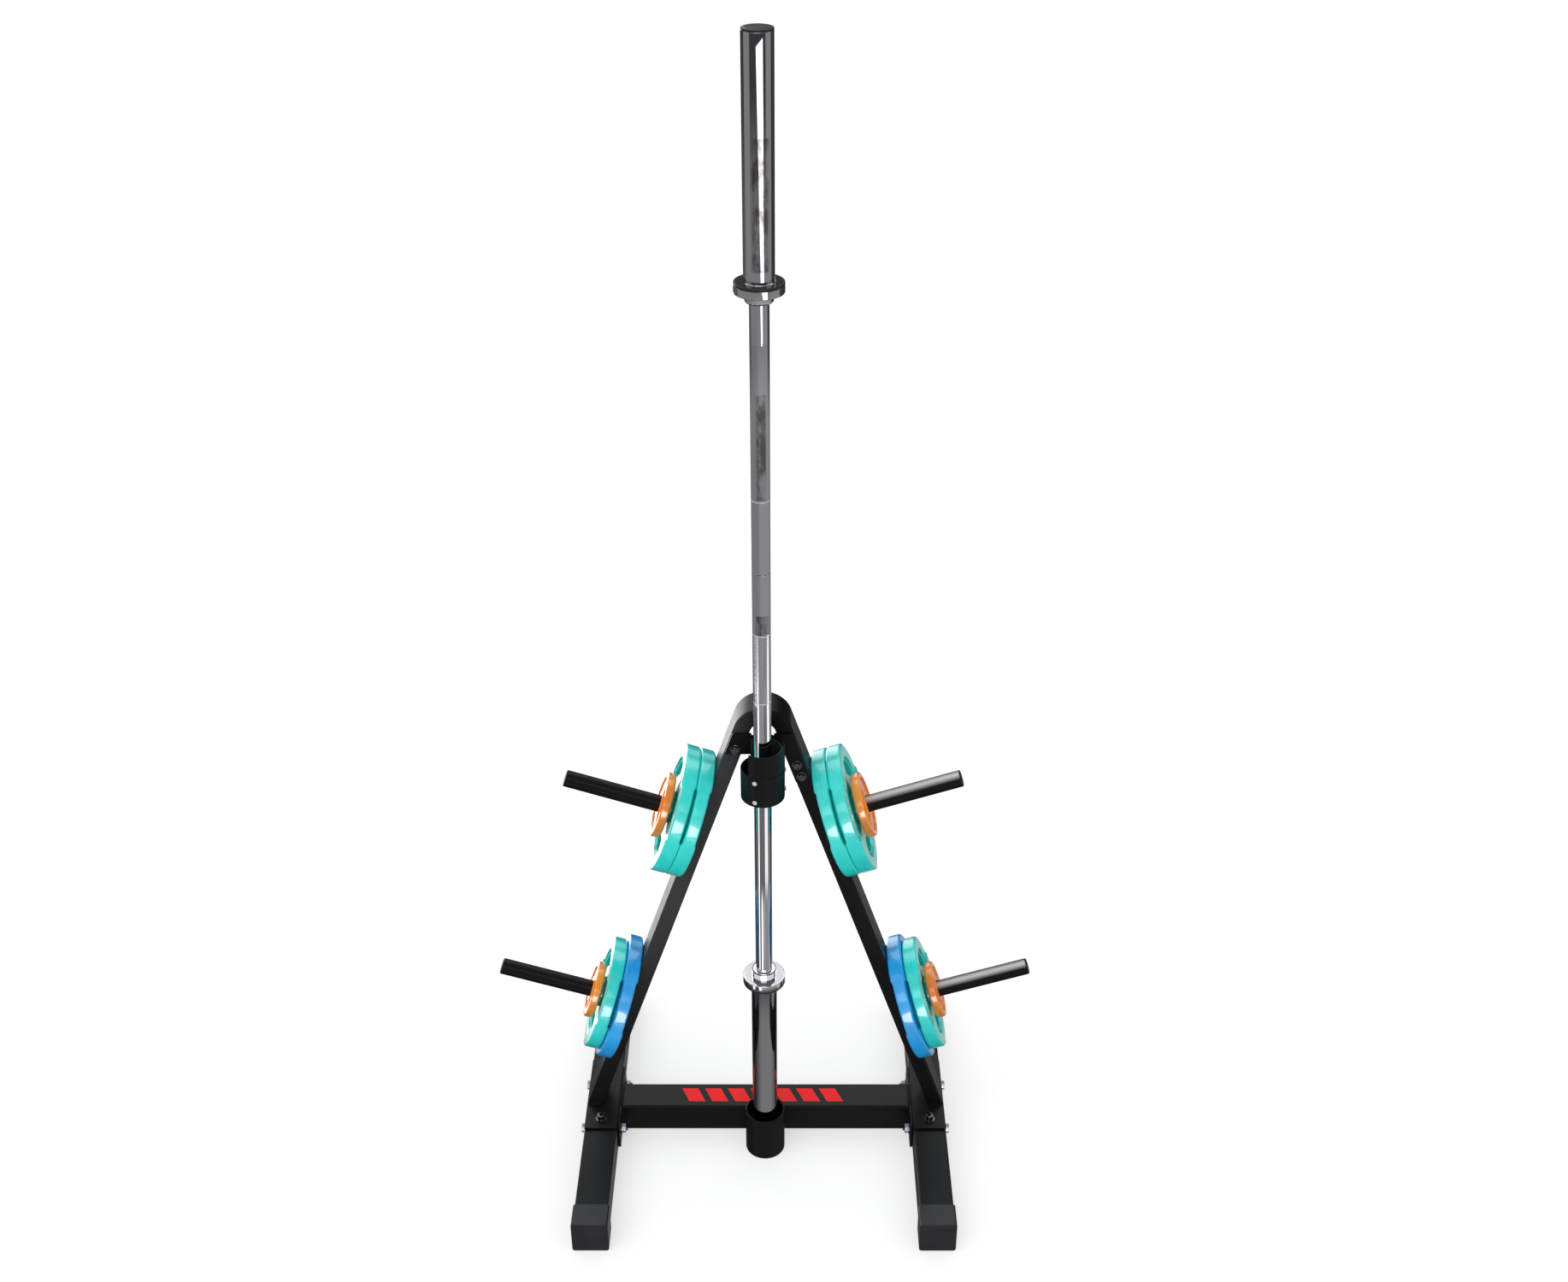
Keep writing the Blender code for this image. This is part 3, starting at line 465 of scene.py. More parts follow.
def vinylFinish(name, colour):
    material, start = newFinish(name)
    plain, deep, scuffAndSheen = vinyl[colour]
    grain, peel, cloud, scuffs = (start.noise(*vinyl[kind]) for kind in ("grain", "peel", "cloud", "scuff"))
    scuffs = scuffs.rise(0.6, 0.78)
    tone = cloud.rise(0.3, 0.7).mixed(plain, deep)
    tone = (scuffs * 0.28).mixed(tone, scuffAndSheen)
    x, y, z = start.axes()
    out = x.maths("ABSOLUTE", x)
    onward = out * pegTopSheen["up"] - z * pegTopSheen["across"]
    over = (z * pegTopSheen["up"] + out * pegTopSheen["across"]) * vinyl["lineSpread"]
    rows = over.node("ShaderNodeCombineXYZ", {0: onward, 1: y * vinyl["lineSpread"], 2: over})
    # the fine lines are real ridges in the bump, and their pale colour is painted highlight streaks along the
    # rims
    ridgesAndSheen = rows.noise(*vinyl["line"])
    tone = (ridgesAndSheen.rise(0.52, 0.72) * 0.16).mixed(tone, scuffAndSheen)
    smooth, clouded, scuffed = vinyl["rough"]
    rough = smooth + cloud * clouded + scuffs * scuffed
    return setFinish(material, {
        "Base Color": tone, "Roughness": rough, "Specular IOR Level": vinyl["specular"],
        "Coat Weight": vinyl["lacquer"], "Coat Roughness": vinyl["lacquerRough"],
        "Normal": (grain * 0.25 + peel * 0.6 + ridgesAndSheen * 0.35).bump(0.0006, 0.25),
    })


finishes = {
    "black_coat": coatFinish("blackPowderCoat"),
    "marked_coat": coatFinish("blackPowderCoatMarked", marked=True),
    # the frame's finish carries a painted sheen on its left side
    "frame_coat": coatFinish("blackPowderCoatFaded", paintedLeftSheen=True),
    # the pegs' finish carries a painted highlight band on the top of the right pegs
    "peg_coat": coatFinish("blackPowderCoatRubbed", scuffAndSheen=True),
    "black_plastic": mouldedFinish("blackMoulding"),
    "chrome_shaft": chromeFinish("chromeShaft", True),
    "chrome": chromeFinish("chromeSleeve", False),
    "zinc": zincFinish("zincPlating", "bright"),
    "dark_zinc": zincFinish("blackZincPlating", "black"),
    **{f"{tone}_coat": vinylFinish(f"{tone}Vinyl", tone) for tone in ("teal", "blue", "orange")},
}
creases = {"zinc": 30, "dark_zinc": 30, "chrome": 30, "other": 38}
print("finishes ready")


# modelling helpers
def softened(corners, steps=4):
    line = []
    for index, (x, y, radius) in enumerate(corners):
        here = Vector((x, y))
        if not radius:
            line.append(here)
            continue
        back = (Vector(corners[index - 1][:2]) - here).normalized()
        onward = (Vector(corners[(index + 1) % len(corners)][:2]) - here).normalized()
        half = back.angle(onward) / 2
        middle = here + (back + onward).normalized() * radius / sin(half)
        first = here + back * radius / tan(half) - middle
        last = here + onward * radius / tan(half) - middle
        begin = atan2(first.y, first.x)
        sweep = (atan2(last.y, last.x) - begin + pi) % (2 * pi) - pi
        for step in range(steps + 1):
            angle = begin + sweep * step / steps
            line.append(middle + radius * Vector((cos(angle), sin(angle))))
    return line


def rectangle(width, height, radius, steps=5):
    x, y = width / 2, height / 2
    return softened([(-x, -y, radius), (x, -y, radius), (x, y, radius), (-x, y, radius)], steps)


def placed(bm, matrix):
    bmesh.ops.transform(bm, matrix=matrix, verts=bm.verts)
    return bm


def outward(bm):
    bmesh.ops.recalc_face_normals(bm, faces=bm.faces)
    return bm


def shifted(bm, extruded, step):
    verts = [item for item in extruded["geom"] if isinstance(item, bmesh.types.BMVert)]
    bmesh.ops.translate(bm, vec=step, verts=verts)


def drawnLoop(bm, points):
    verts = [bm.verts.new(point) for point in points]
    return verts, [bm.edges.new(pair) for pair in zip(verts, verts[1:] + verts[:1])]


def joined(*shapes):
    whole = shapes[0]
    for shape in shapes[1:]:
        spare = meshFrom(shape, "spare")
        whole.from_mesh(spare)
        bpy.data.meshes.remove(spare)
    return whole


def rounded(bm, geom, radius, segments=2, affect="EDGES"):
    bmesh.ops.bevel(bm, geom=geom, offset=radius, segments=segments, profile=0.5, affect=affect,
                    material=-1, clamp_overlap=True)


def isFlat(item, height, within=0.00001):
    return all(abs(vert.co.z - height) < within for vert in item.verts)


def flatEdges(bm, height):
    return [edge for edge in bm.edges if isFlat(edge, height)]


def slab(outline, low, high, edge=0.0):
    bm = bmesh.new()
    face = bm.faces.new([bm.verts.new((point[0], point[1], low)) for point in outline])
    shifted(bm, bmesh.ops.extrude_face_region(bm, geom=[face]), (0, 0, high - low))
    outward(bm)
    if edge:
        rounded(bm, flatEdges(bm, low) + flatEdges(bm, high), edge)
    return bm


def spun(profile, steps=96):
    bm = bmesh.new()
    points = [bm.verts.new((r, 0, z)) for r, z in profile]
    edges = [bm.edges.new(pair) for pair in zip(points, points[1:])]
    if profile[0][0] and profile[-1][0]:  # a profile that ends on the axis stays open
        edges.append(bm.edges.new((points[-1], points[0])))
    bmesh.ops.spin(bm, geom=points + edges, axis=(0, 0, 1), angle=2 * pi, steps=steps, use_merge=True)
    bmesh.ops.remove_doubles(bm, verts=bm.verts, dist=0.000005)
    bmesh.ops.dissolve_degenerate(bm, edges=bm.edges, dist=0.000001)
    return outward(bm)


def swept(profile, centre, opening):
    solid = 2 * pi - opening
    bm = bmesh.new()
    face = bm.faces.new([bm.verts.new((r, 0, z)) for r, z in profile])
    start = centre + pi - solid / 2 - pi / 2
    placed(bm, turned(start, "Z"))
    steps = round(guide["steps"] * solid / (2 * pi))
    bmesh.ops.spin(bm, geom=[face, *face.edges, *face.verts], axis=(0, 0, 1), angle=solid, steps=steps)
    return outward(bm)


def carved(bm, cutters):
    things = [linked("carving", meshFrom(shape, "carving")) for shape in (bm, *cutters)]
    for cutter in things[1:]:
        boolean = things[0].modifiers.new("carve", "BOOLEAN")
        boolean.operation = "DIFFERENCE"
        boolean.solver = "EXACT"
        boolean.object = cutter
    bpy.context.view_layer.update()
    seen = things[0].evaluated_get(bpy.context.evaluated_depsgraph_get())
    result = bmesh.new()
    result.from_mesh(seen.to_mesh())
    seen.to_mesh_clear()
    for thing in things:
        mesh = thing.data
        bpy.data.objects.remove(thing, do_unlink=True)
        bpy.data.meshes.remove(mesh)
    bmesh.ops.remove_doubles(result, verts=result.verts, dist=0.000005)
    bmesh.ops.dissolve_degenerate(result, edges=result.edges, dist=0.000002)
    return result


def plainName(node):
    first, *others = node.split("_")
    return first + "".join(word.title() for word in others)


def addPiece(bm, finish, node=None, body="rack", name=None):
    name = name or plainName(node)
    mesh = meshFrom(bm, name)
    mesh.materials.append(finishes[finish])
    mesh.shade_smooth()
    mesh.set_sharp_from_angle(angle=radians(creases.get(finish, creases["other"])))
    piece = linked(name, mesh)
    if finish.split("_")[-1] == "zinc" or finish.split("_")[0] in vinyl:
        frontLit.objects.link(piece)
    weighted = piece.modifiers.new("evenNormals", "WEIGHTED_NORMAL")
    weighted.keep_sharp = True
    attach(piece, body)
    if node:
        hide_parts(node)
    return piece


def at(x, y, z):
    return Matrix.Translation((x, y, z))


def turned(angle, axis):
    return Matrix.Rotation(angle, 4, axis)


def along(x, y, z, side):
    return at(x, y, z) @ turned(side * pi / 2, "Y")


def toFront(x, y, z):
    return at(x, y, z) @ turned(pi / 2, "X")


fit = 0.0003
sides = ((-1, "left"), (1, "right"))
ends = ((-1, "front"), (1, "rear"))
footCorners = [(side, end, f"{endName}_{hand}") for side, hand in sides for end, endName in ends]
weld = {"radius": 0.0026, "ripple": 0.14, "pitch": 0.0022, "tip": 0.6}


def weldRun(start, finish):
    start, finish = Vector(start), Vector(finish)
    length = (finish - start).length
    rings = max(2, round(length / weld["pitch"]))
    bm = bmesh.new()
    tip = weld["radius"] * weld["tip"]
    bmesh.ops.create_circle(bm, cap_ends=True, radius=tip, segments=8)
    face = next(iter(bm.faces))
    for ring in range(rings):
        grown = bmesh.ops.extrude_discrete_faces(bm, faces=[face])["faces"]
        face = grown[0]
        middle = face.calc_center_median()
        size = weld["radius"] * (1 + weld["ripple"] * (1 if ring % 2 else -1))
        size = tip if ring == rings - 1 else size
        for vert in face.verts:
            vert.co = middle + (vert.co - middle).normalized() * size + Vector((0, 0, length / rings))
    turn = (finish - start).to_track_quat("Z", "Y").to_matrix().to_4x4()
    return placed(outward(bm), at(*start) @ turn)


def weldRing(radius, height, bead, steps=72):
    circle = [(radius + bead * cos(a), height + bead * sin(a)) for a in (k * pi / 4 for k in range(8))]
    bm = spun(circle, steps)
    for vert in bm.verts:
        turn = atan2(vert.co.y, vert.co.x)
        centre = Vector((radius * cos(turn), radius * sin(turn), height))
        wave = 1 + weld["ripple"] * (1 if round(turn / (2 * pi) * steps) % 2 else -1)
        vert.co = centre + (vert.co - centre) * wave
    return bm


# feet
foot = {
    "tube": 0.066, "wall": 0.0025, "corner": 0.0038, "length": 0.7, "spacing": 0.6773,
    "capLength": 0.0525, "capWall": 0.0027, "capFace": 0.003, "capCorner": 0.005, "capEdge": 0.0024,
    "capLip": 0.0006, "plate": 0.005, "plateLength": 0.172, "plateCorner": 0.006, "boltOffset": 0.0617,
    "saddle": 0.005, "saddleLength": 0.198, "saddleCorner": 0.003, "saddleBolt": 0.0735,
}
footX = foot["spacing"] / 2
tubeBottom = foot["capWall"] + fit
tubeMiddle = tubeBottom + foot["tube"] / 2
tubeTop = tubeBottom + foot["tube"]
legBottom = tubeTop + fit + foot["saddle"] + fit
capSize = foot["tube"] + 2 * (foot["capWall"] + fit)


def hollowTube(length):
    bm = bmesh.new()
    loops = []
    for inset in (0, foot["wall"]):
        size = foot["tube"] - 2 * inset
        points = rectangle(size, size, foot["corner"] - inset, 6)
        loops += drawnLoop(bm, [(p.x, p.y, -length / 2) for p in points])[1]
    ring = bmesh.ops.bridge_loops(bm, edges=loops)["faces"]
    shifted(bm, bmesh.ops.extrude_face_region(bm, geom=ring), (0, 0, length))
    return outward(bm)


def footCap():
    bm = slab(rectangle(capSize, capSize, foot["capCorner"], 6), 0, foot["capLength"])
    rounded(bm, flatEdges(bm, 0), foot["capEdge"], 4)
    back = [face for face in bm.faces if isFlat(face, foot["capLength"])]
    bmesh.ops.inset_region(bm, faces=back, thickness=foot["capWall"])
    shifted(bm, bmesh.ops.extrude_face_region(bm, geom=back), (0, 0, foot["capFace"] - foot["capLength"]))
    bmesh.ops.delete(bm, geom=back, context="FACES_ONLY")
    rounded(bm, flatEdges(bm, foot["capLength"]), foot["capLip"])
    return outward(bm)


def buildFeet():
    tubeLength = foot["length"] - 2 * (foot["capFace"] + fit)
    for side, hand in sides:
        tube = placed(hollowTube(tubeLength), toFront(side * footX, 0, tubeMiddle))
        addPiece(tube, "black_coat", f"foot_tube_{hand}", name=f"footTube.{hand}")
        for end, endName in ends:
            face = at(side * footX, end * foot["length"] / 2, tubeMiddle)
            cap = placed(footCap(), face @ turned(end * pi / 2, "X"))
            addPiece(cap, "black_plastic", f"foot_cap_{endName}_{hand}", name=f"footCap.{endName}.{hand}")


def buildBeam():
    plateX = footX - foot["tube"] / 2 - fit - foot["plate"] / 2
    length = 2 * (plateX - foot["plate"] / 2 - fit)
    beam = placed(hollowTube(length), along(0, 0, tubeMiddle, 1))
    half = foot["tube"] / 2
    flat = half - foot["corner"]
    runs = []
    for x in (-length / 2, length / 2):
        for y, z, toY, toZ in ((-flat, half, flat, half), (-half, -flat, -half, flat), (half, -flat, half, flat)):
            runs.append(weldRun((x, y, tubeMiddle + z), (x, toY, tubeMiddle + toZ)))
    addPiece(joined(beam, *runs), "marked_coat", "cross_beam")
    outline = rectangle(foot["plateLength"], foot["tube"], foot["plateCorner"], 4)
    saddleOutline = rectangle(foot["tube"], foot["saddleLength"], foot["saddleCorner"], 4)
    for side, hand in sides:
        plate = slab(outline, -foot["plate"] / 2, foot["plate"] / 2, 0.0007)
        placed(plate, at(side * plateX, 0, tubeMiddle) @ turned(pi / 2, "Z") @ turned(pi / 2, "X"))
        addPiece(plate, "black_coat", f"beam_end_plate_{hand}", name=f"beamEndPlate.{hand}")
        saddle = slab(saddleOutline, -foot["saddle"] / 2, foot["saddle"] / 2, 0.0008)
        placed(saddle, at(side * footX, 0, tubeTop + fit + foot["saddle"] / 2))
        addPiece(saddle, "black_coat", f"leg_saddle_{hand}", name=f"legSaddle.{hand}")


buildFeet()
buildBeam()
print("feet and beam done")


# fasteners
bolt = {
    "shank": 0.005, "headRadius": 0.0095, "head": 0.0075, "washerRadius": 0.0115, "washer": 0.002,
    "nut": 0.008, "stickOut": 0.004, "threadDepth": 0.0006, "pitch": 0.00125,
    "capHead": 0.008, "capHeight": 0.01, "key": 0.004, "rivetNut": 0.0075, "rivetLength": 0.014,
    "overlap": 0.004,
    "smallShank": 0.004, "smallHead": 0.0075, "smallHeight": 0.0055, "smallWasher": 0.0092, "smallLength": 0.0125,
    "cornerCut": 0.16, "edgeCut": 0.03,  # shares of a hexagon's radius
}


def hexPrism(radius, height, middle):
    bm = bmesh.new()
    bmesh.ops.create_cone(bm, cap_ends=True, segments=6, radius1=radius, radius2=radius, depth=height)
    return placed(bm, at(0, 0, middle))


def hexBlock(radius, low, high):
    middle = (low + high) / 2
    bm = hexPrism(radius, high - low, middle)
    corners = [v for v in bm.verts if v.co.z > middle]
    rounded(bm, corners, radius * bolt["cornerCut"], affect="VERTICES")
    sharp = [e for e in bm.edges if e.calc_face_angle(0) > radians(50)]
    rounded(bm, sharp, radius * bolt["edgeCut"], 1)
    return outward(bm)


def disc(radius, low, high, edge=0.0003, steps=32):
    corners = [(0, high, 0), (radius, high, edge), (radius, low, edge), (0, low, 0)]
    return spun(softened(corners, 2), steps)


def threaded(radius, low, high, steps=20):
    depth, pitch = bolt["threadDepth"], bolt["pitch"]
    turns = max(1, int((high - low - pitch) / pitch))
    profile = [(0, high), (radius - 1.5 * depth, high), (radius - depth / 2, high - depth)]
    z = high - depth
    for _ in range(turns):
        profile += [(radius, z - pitch / 4), (radius - depth, z - 3 * pitch / 4)]
        z -= pitch
    profile += [(radius, z), (radius, low), (0, low)]
    return spun(profile, steps)


def buildFootBolts():
    radius, washer = bolt["headRadius"], bolt["washerRadius"]
    end = (foot["tube"] + 2 * fit + foot["plate"]) / 2 + fit
    over = end + bolt["washer"]
    middle = footX - (fit + foot["plate"]) / 2
    under = turned(pi, "X")
    for side, way, place in footCorners:
        whole = joined(
            hexBlock(radius, over - fit / 3, over + bolt["head"]),
            disc(washer, end, over),
            disc(washer, -over, -end),
            placed(hexBlock(radius, over - fit / 3, over + bolt["nut"]), under),
            placed(threaded(bolt["shank"], -end, over + bolt["nut"] + bolt["stickOut"]), under),
        )
        placed(whole, along(side * middle, way * foot["boltOffset"], tubeMiddle, side))
        addPiece(whole, "dark_zinc", f"foot_bolt_{place}")


def keyHead(radius, low, high):
    corners = [(0, high, 0), (radius, high, 0.0008), (radius, low, 0.0002), (0, low, 0)]
    bm = spun(softened(corners, 3), 36)
    return carved(bm, [hexPrism(bolt["key"], high - low, high)])


def buildSaddleBolts():
    top = legBottom + bolt["washer"]
    under = tubeTop - foot["wall"] - fit
    for side, way, place in footCorners:
        whole = joined(
            keyHead(bolt["capHead"], top - fit / 3, top + bolt["capHeight"]),
            disc(bolt["washerRadius"], legBottom, top),
            disc(bolt["shank"], under - bolt["overlap"], top, 0.0002, 20),
            disc(bolt["rivetNut"], under - bolt["rivetLength"], under, 0.0008),
        )
        placed(whole, at(side * footX, way * foot["saddleBolt"], 0))
        addPiece(whole, "dark_zinc", f"saddle_bolt_{place}")


buildFootBolts()
buildSaddleBolts()
print("fasteners done")


# A-frame
aFrame = {
    "height": 1.054, "width": 0.031, "depth": 0.065, "wall": 0.0025, "corner": 0.0042, "bend": 0.055,
    "setback": 0.001, "bendSteps": 56, "weldInset": 0.004,
}
archCentre = aFrame["height"] - aFrame["bend"]
legCorner = footX + foot["tube"] / 2 - aFrame["setback"]
cornerToArch = hypot(legCorner, archCentre - legBottom)
lean = atan2(legCorner, archCentre - legBottom) - asin(aFrame["bend"] / cornerToArch)


def legOuter(z):
    return legCorner - (z - legBottom) * tan(lean)


def legInner(z):
    return legOuter(z) - aFrame["width"] / cos(lean)


def buildFrame():
    bm = bmesh.new()
    width, depth = aFrame["width"], aFrame["depth"]
    line = aFrame["bend"] - width / 2
    points = rectangle(width, depth, aFrame["corner"])
    verts, edges = drawnLoop(bm, [(p.x + line, p.y, 0) for p in points])
    placed(bm, turned(-lean, "Y"))
    arch = bmesh.ops.spin(bm, geom=verts + edges, axis=(0, 1, 0), angle=2 * lean - pi, steps=aFrame["bendSteps"])
    overrun = cornerToArch + width
    lastEdges = [item for item in arch["geom_last"] if isinstance(item, bmesh.types.BMEdge)]
    for loop, side in ((edges, 1), (lastEdges, -1)):
        step = (side * sin(lean) * overrun, 0, -cos(lean) * overrun)
        shifted(bm, bmesh.ops.extrude_edge_only(bm, edges=loop), step)
    placed(bm, at(0, 0, archCentre))
    everything = [*bm.verts, *bm.edges, *bm.faces]
    bmesh.ops.bisect_plane(bm, geom=everything, plane_co=(0, 0, legBottom), plane_no=(0, 0, -1), clear_outer=True)
    outward(bm)
    top = max(bm.faces, key=lambda f: f.calc_center_median().z)
    if top.normal.z < 0:
        bmesh.ops.reverse_faces(bm, faces=bm.faces)
    piece = addPiece(bm, "frame_coat", "a_frame_tube")
    wall = piece.modifiers.new("wall", "SOLIDIFY")
    wall.thickness = aFrame["wall"]
    wall.offset = -1.0
    piece.modifiers.move(1, 0)
    inset = aFrame["weldInset"]
    runs = []
    for side in (-1, 1):
        outer, inner = side * legOuter(legBottom), side * legInner(legBottom)
        edge = depth / 2 - inset
        runs.append(weldRun((inner, -edge, legBottom), (inner, edge, legBottom)))
        for y in (-depth / 2, depth / 2):
            runs.append(weldRun((outer - side * inset, y, legBottom), (inner + side * inset, y, legBottom)))
    addPiece(joined(*runs), "black_coat", name="legWelds")


buildFrame()
print("frame done")


# pegs
peg = {
    "radius": 0.016, "wall": 0.0025, "length": 0.26, "plugHead": 0.003, "plugStem": 0.014,
    "lowerHeight": 0.34, "upperDrop": 0.256, "bead": 0.0022,
}


def pegPlaces():
    for side, hand in sides:
        for height, level in ((aFrame["height"] - peg["upperDrop"], "upper"), (peg["lowerHeight"], "lower")):
            tilt = turned(side * (pi / 2 - lean), "Y")
            yield level, hand, side, at(side * legOuter(height), 0, height) @ tilt


def buildPegs():
    radius, head = peg["radius"], peg["length"]
    bore = radius - peg["wall"]
    stem = bore - fit
    end = head - peg["plugHead"] - fit
    wall = softened([(radius, end, 0.0008), (radius, fit, 0), (bore, fit, 0), (bore, end, 0.0004)], 3)
    plug = [
        (0, head), (radius * 0.45, head - 0.00015), (radius * 0.78, head - 0.0006),
        (radius * 0.93, head - 0.0012), (radius - 0.0002, head - 0.002), (radius, end + fit + 0.0003),
        (radius - 0.0003, end + fit), (stem, end + fit),
    ]
    for ridge in range(3):
        z = end - 0.002 - ridge * 0.0035
        plug += [(stem, z), (stem - 0.0008, z - 0.0012), (stem - 0.0008, z - 0.0022)]
    plug += [(stem - 0.001, end - peg["plugStem"]), (0, end - peg["plugStem"])]
    for level, hand, side, seat in pegPlaces():
        tube = joined(spun(wall, 64), weldRing(radius + 0.0002, peg["bead"] * 0.1 + fit, peg["bead"] * 0.9))
        addPiece(placed(tube, seat), "peg_coat", f"plate_peg_{level}_{hand}")
        addPiece(placed(spun(plug, 48), seat), "black_plastic", f"peg_plug_{level}_{hand}")


buildPegs()
print("pegs done")


# plates
plate = {
    "play": 0.00075, "hub": 0.03, "rim": 0.027, "recess": 0.007, "edge": 0.004,
    "gripMargin": 0.005, "gripHeight": 0.028, "gripAngle": radians(62), "gripFirst": radians(59.5),
    "gripCorner": 0.008, "webRound": 0.0012, "thinHalf": radians(24), "thinRamp": radians(3), "thinDepth": 0.0025,
    "steps": 120,
}
smallParts = {"pocket": 0.0028, "rim": 0.0105, "hub": 0.0085, "spoke": 0.01, "sunk": 0.0004}
plateSizes = {
    "tealLarge": (0.1232, 0.029), "orangeLarge": (0.0624, 0.0165), "blue": (0.1246, 0.029),
    "tealSmall": (0.1124, 0.028), "orangeSmall": (0.0562, 0.016),
}
loads = {"upper": ("tealLarge", "tealLarge", "orangeLarge"), "lower": ("blue", "tealSmall", "orangeSmall")}


def bothFaces(corners, thickness):
    return corners + [(radius, thickness - z, edge) for radius, z, edge in reversed(corners)]


def gripOutline(outer, steps=12):
    angle, radius = plate["gripAngle"], plate["gripCorner"]
    line = []
    for reach, way in ((outer, 1), (outer - plate["gripHeight"], -1)):
        side = angle / 2 * way
        kept = angle / 2 - 1.15 * radius / reach
        angles = [kept * (2 * k / steps - 1) for k in range(steps + 1)]
        line.append((reach * cos(side), -reach * sin(side), radius))
        line += [(reach * cos(a), way * reach * sin(a), 0) for a in angles]
        line.append((reach * cos(side), reach * sin(side), radius))
    return softened(line)


def thinned(bm, rim, thickness):
    third = 2 * pi / 3
    middle = thickness / 2
    for vert in bm.verts:
        if hypot(vert.co.x, vert.co.y) < rim - 0.0005:
            continue
        turn = atan2(vert.co.y, vert.co.x) % third
        share = (plate["thinHalf"] + plate["thinRamp"] - min(turn, third - turn)) / plate["thinRamp"]
        share = max(0.0, min(1.0, share))
        share = share * share * (3 - 2 * share)
        allowed = middle - plate["thinDepth"] * share
        vert.co.z = middle + (vert.co.z - middle) * allowed / middle


def largePlate(radius, thickness):
    bore = peg["radius"] + plate["play"]
    rim = radius - plate["rim"]
    low, high = plate["recess"], thickness - plate["recess"]
    hub = plate["hub"]
    corners = [
        (bore, 0, 0.001), (hub - 0.001, 0, 0.0018), (hub, low, 0.0018), (rim, low, 0.0025),
        (rim + 0.0022, 0, 0.0022), (radius, 0, plate["edge"]),
    ]
    bm = spun(softened(bothFaces(corners, thickness)), plate["steps"])
    thinned(bm, rim, thickness)
    outline = gripOutline(rim - plate["gripMargin"])
    thirds = [turned(step * 2 * pi / 3, "Z") for step in range(3)]
    bm = carved(bm, [placed(slab(outline, -0.01, thickness + 0.01), third) for third in thirds])
    web = [e for e in bm.edges if any(isFlat(e, level, 0.00002) for level in (low, high))]
    rims = [e for e in web if e.is_manifold and e.calc_face_angle(0) > radians(60)]
    rounded(bm, rims, plate["webRound"])
    return bm


def smallPlate(radius, thickness):
    pocket, sunk = smallParts["pocket"], smallParts["sunk"]
    bore = peg["radius"] + plate["play"]
    rim, hub = radius - smallParts["rim"], bore + smallParts["hub"]
    corners = [
        (bore, 0, 0.0008), (hub, 0, 0.001), (hub + 0.0008, pocket, 0.001), (rim - 0.001, pocket, 0.0016),
        (rim, 0, 0.0012), (radius, 0, 0.0032),
    ]
    bm = spun(softened(bothFaces(corners, thickness)))
    outline = rectangle(rim - hub + 0.004, smallParts["spoke"], 0.001, 2)
    spokes = []
    for step in range(3):
        spoke = slab(outline, sunk, thickness - sunk, 0.001)
        spokes.append(placed(spoke, turned((step + 0.5) * 2 * pi / 3, "Z") @ at((rim + hub) / 2, 0, 0)))
    return joined(bm, *spokes)


def buildPlates():
    for level, hand, side, seat in pegPlaces():
        start = fit
        turn = turned(side * (plate["gripFirst"] - pi / 2) - pi / 2, "Z")
        for order, kind in zip(("inner", "middle", "outer"), loads[level]):
            radius, thickness = plateSizes[kind]
            shape = smallPlate(radius, thickness) if kind.startswith("orange") else largePlate(radius, thickness)
            placed(shape, seat @ at(0, 0, start) @ turn)
            colour = kind.replace("Large", "").replace("Small", "")
            node = f"{order}_{colour}_plate_{level}_{hand}"
            addPiece(shape, f"{colour}_coat", node, f"{level}_{hand}_{order}_plate")
            start += thickness + fit


buildPlates()
print("plates done")


# bar
collarLow = bar["sleeveLength"]
collarHigh = collarLow + bar["collarThickness"]
hubEnd = collarHigh + bar["hubLength"]


def sleeveShape():
    bore = bar["spigot"] + bar["play"]
    end, band = bar["capHead"] + fit, collarLow + bar["band"]
    hub, collar, sleeve = bar["hub"], bar["collar"], bar["sleeve"]
    core = collar - bar["bandDepth"]
    corners = [
        (hub, hubEnd, 0.0036), (hub, collarHigh, 0.0008), (collar, collarHigh, 0.001), (collar, band, 0.0004),
        (core, band, 0), (core, collarLow, 0), (sleeve, collarLow, 0.0012), (sleeve, end, 0.0008), (bore, end, 0),
        (bore, hubEnd, 0.0004),
    ]
    bm = spun(softened(corners, 3))
    cutters = []
    for turn in bar["notches"]:
        notch = slab(rectangle(0.007, 0.0042, 0.0006, 2), collarHigh - 0.0045, collarHigh + 0.004)
        cutters.append(placed(notch, turned(radians(turn - 90), "Z") @ at(collar - 0.001, 0, 0)))
    return carved(bm, cutters)


def bandShape():
    low, high = collarLow + 0.0002, collarLow + bar["band"] - 0.0003
    inner, outer = bar["collar"] - bar["bandDepth"] + 0.0001, bar["collar"]
    corners = [(outer, high, 0.0008), (outer, low, 0.0014), (inner, low, 0), (inner, high, 0)]
    return spun(softened(corners, 3))


def barCap():
    head, stem = bar["capHead"], bar["capHead"] + bar["capStem"]
    sleeve, spigot = bar["sleeve"], bar["spigot"]
    corners = [
        (0, stem, 0), (spigot, stem, 0.0006), (spigot, head, 0), (sleeve, head, 0.0003), (sleeve, 0.001, 0.0016),
        (sleeve - 0.006, 0, 0.003), (0, 0, 0),
    ]
    return spun(softened(corners))


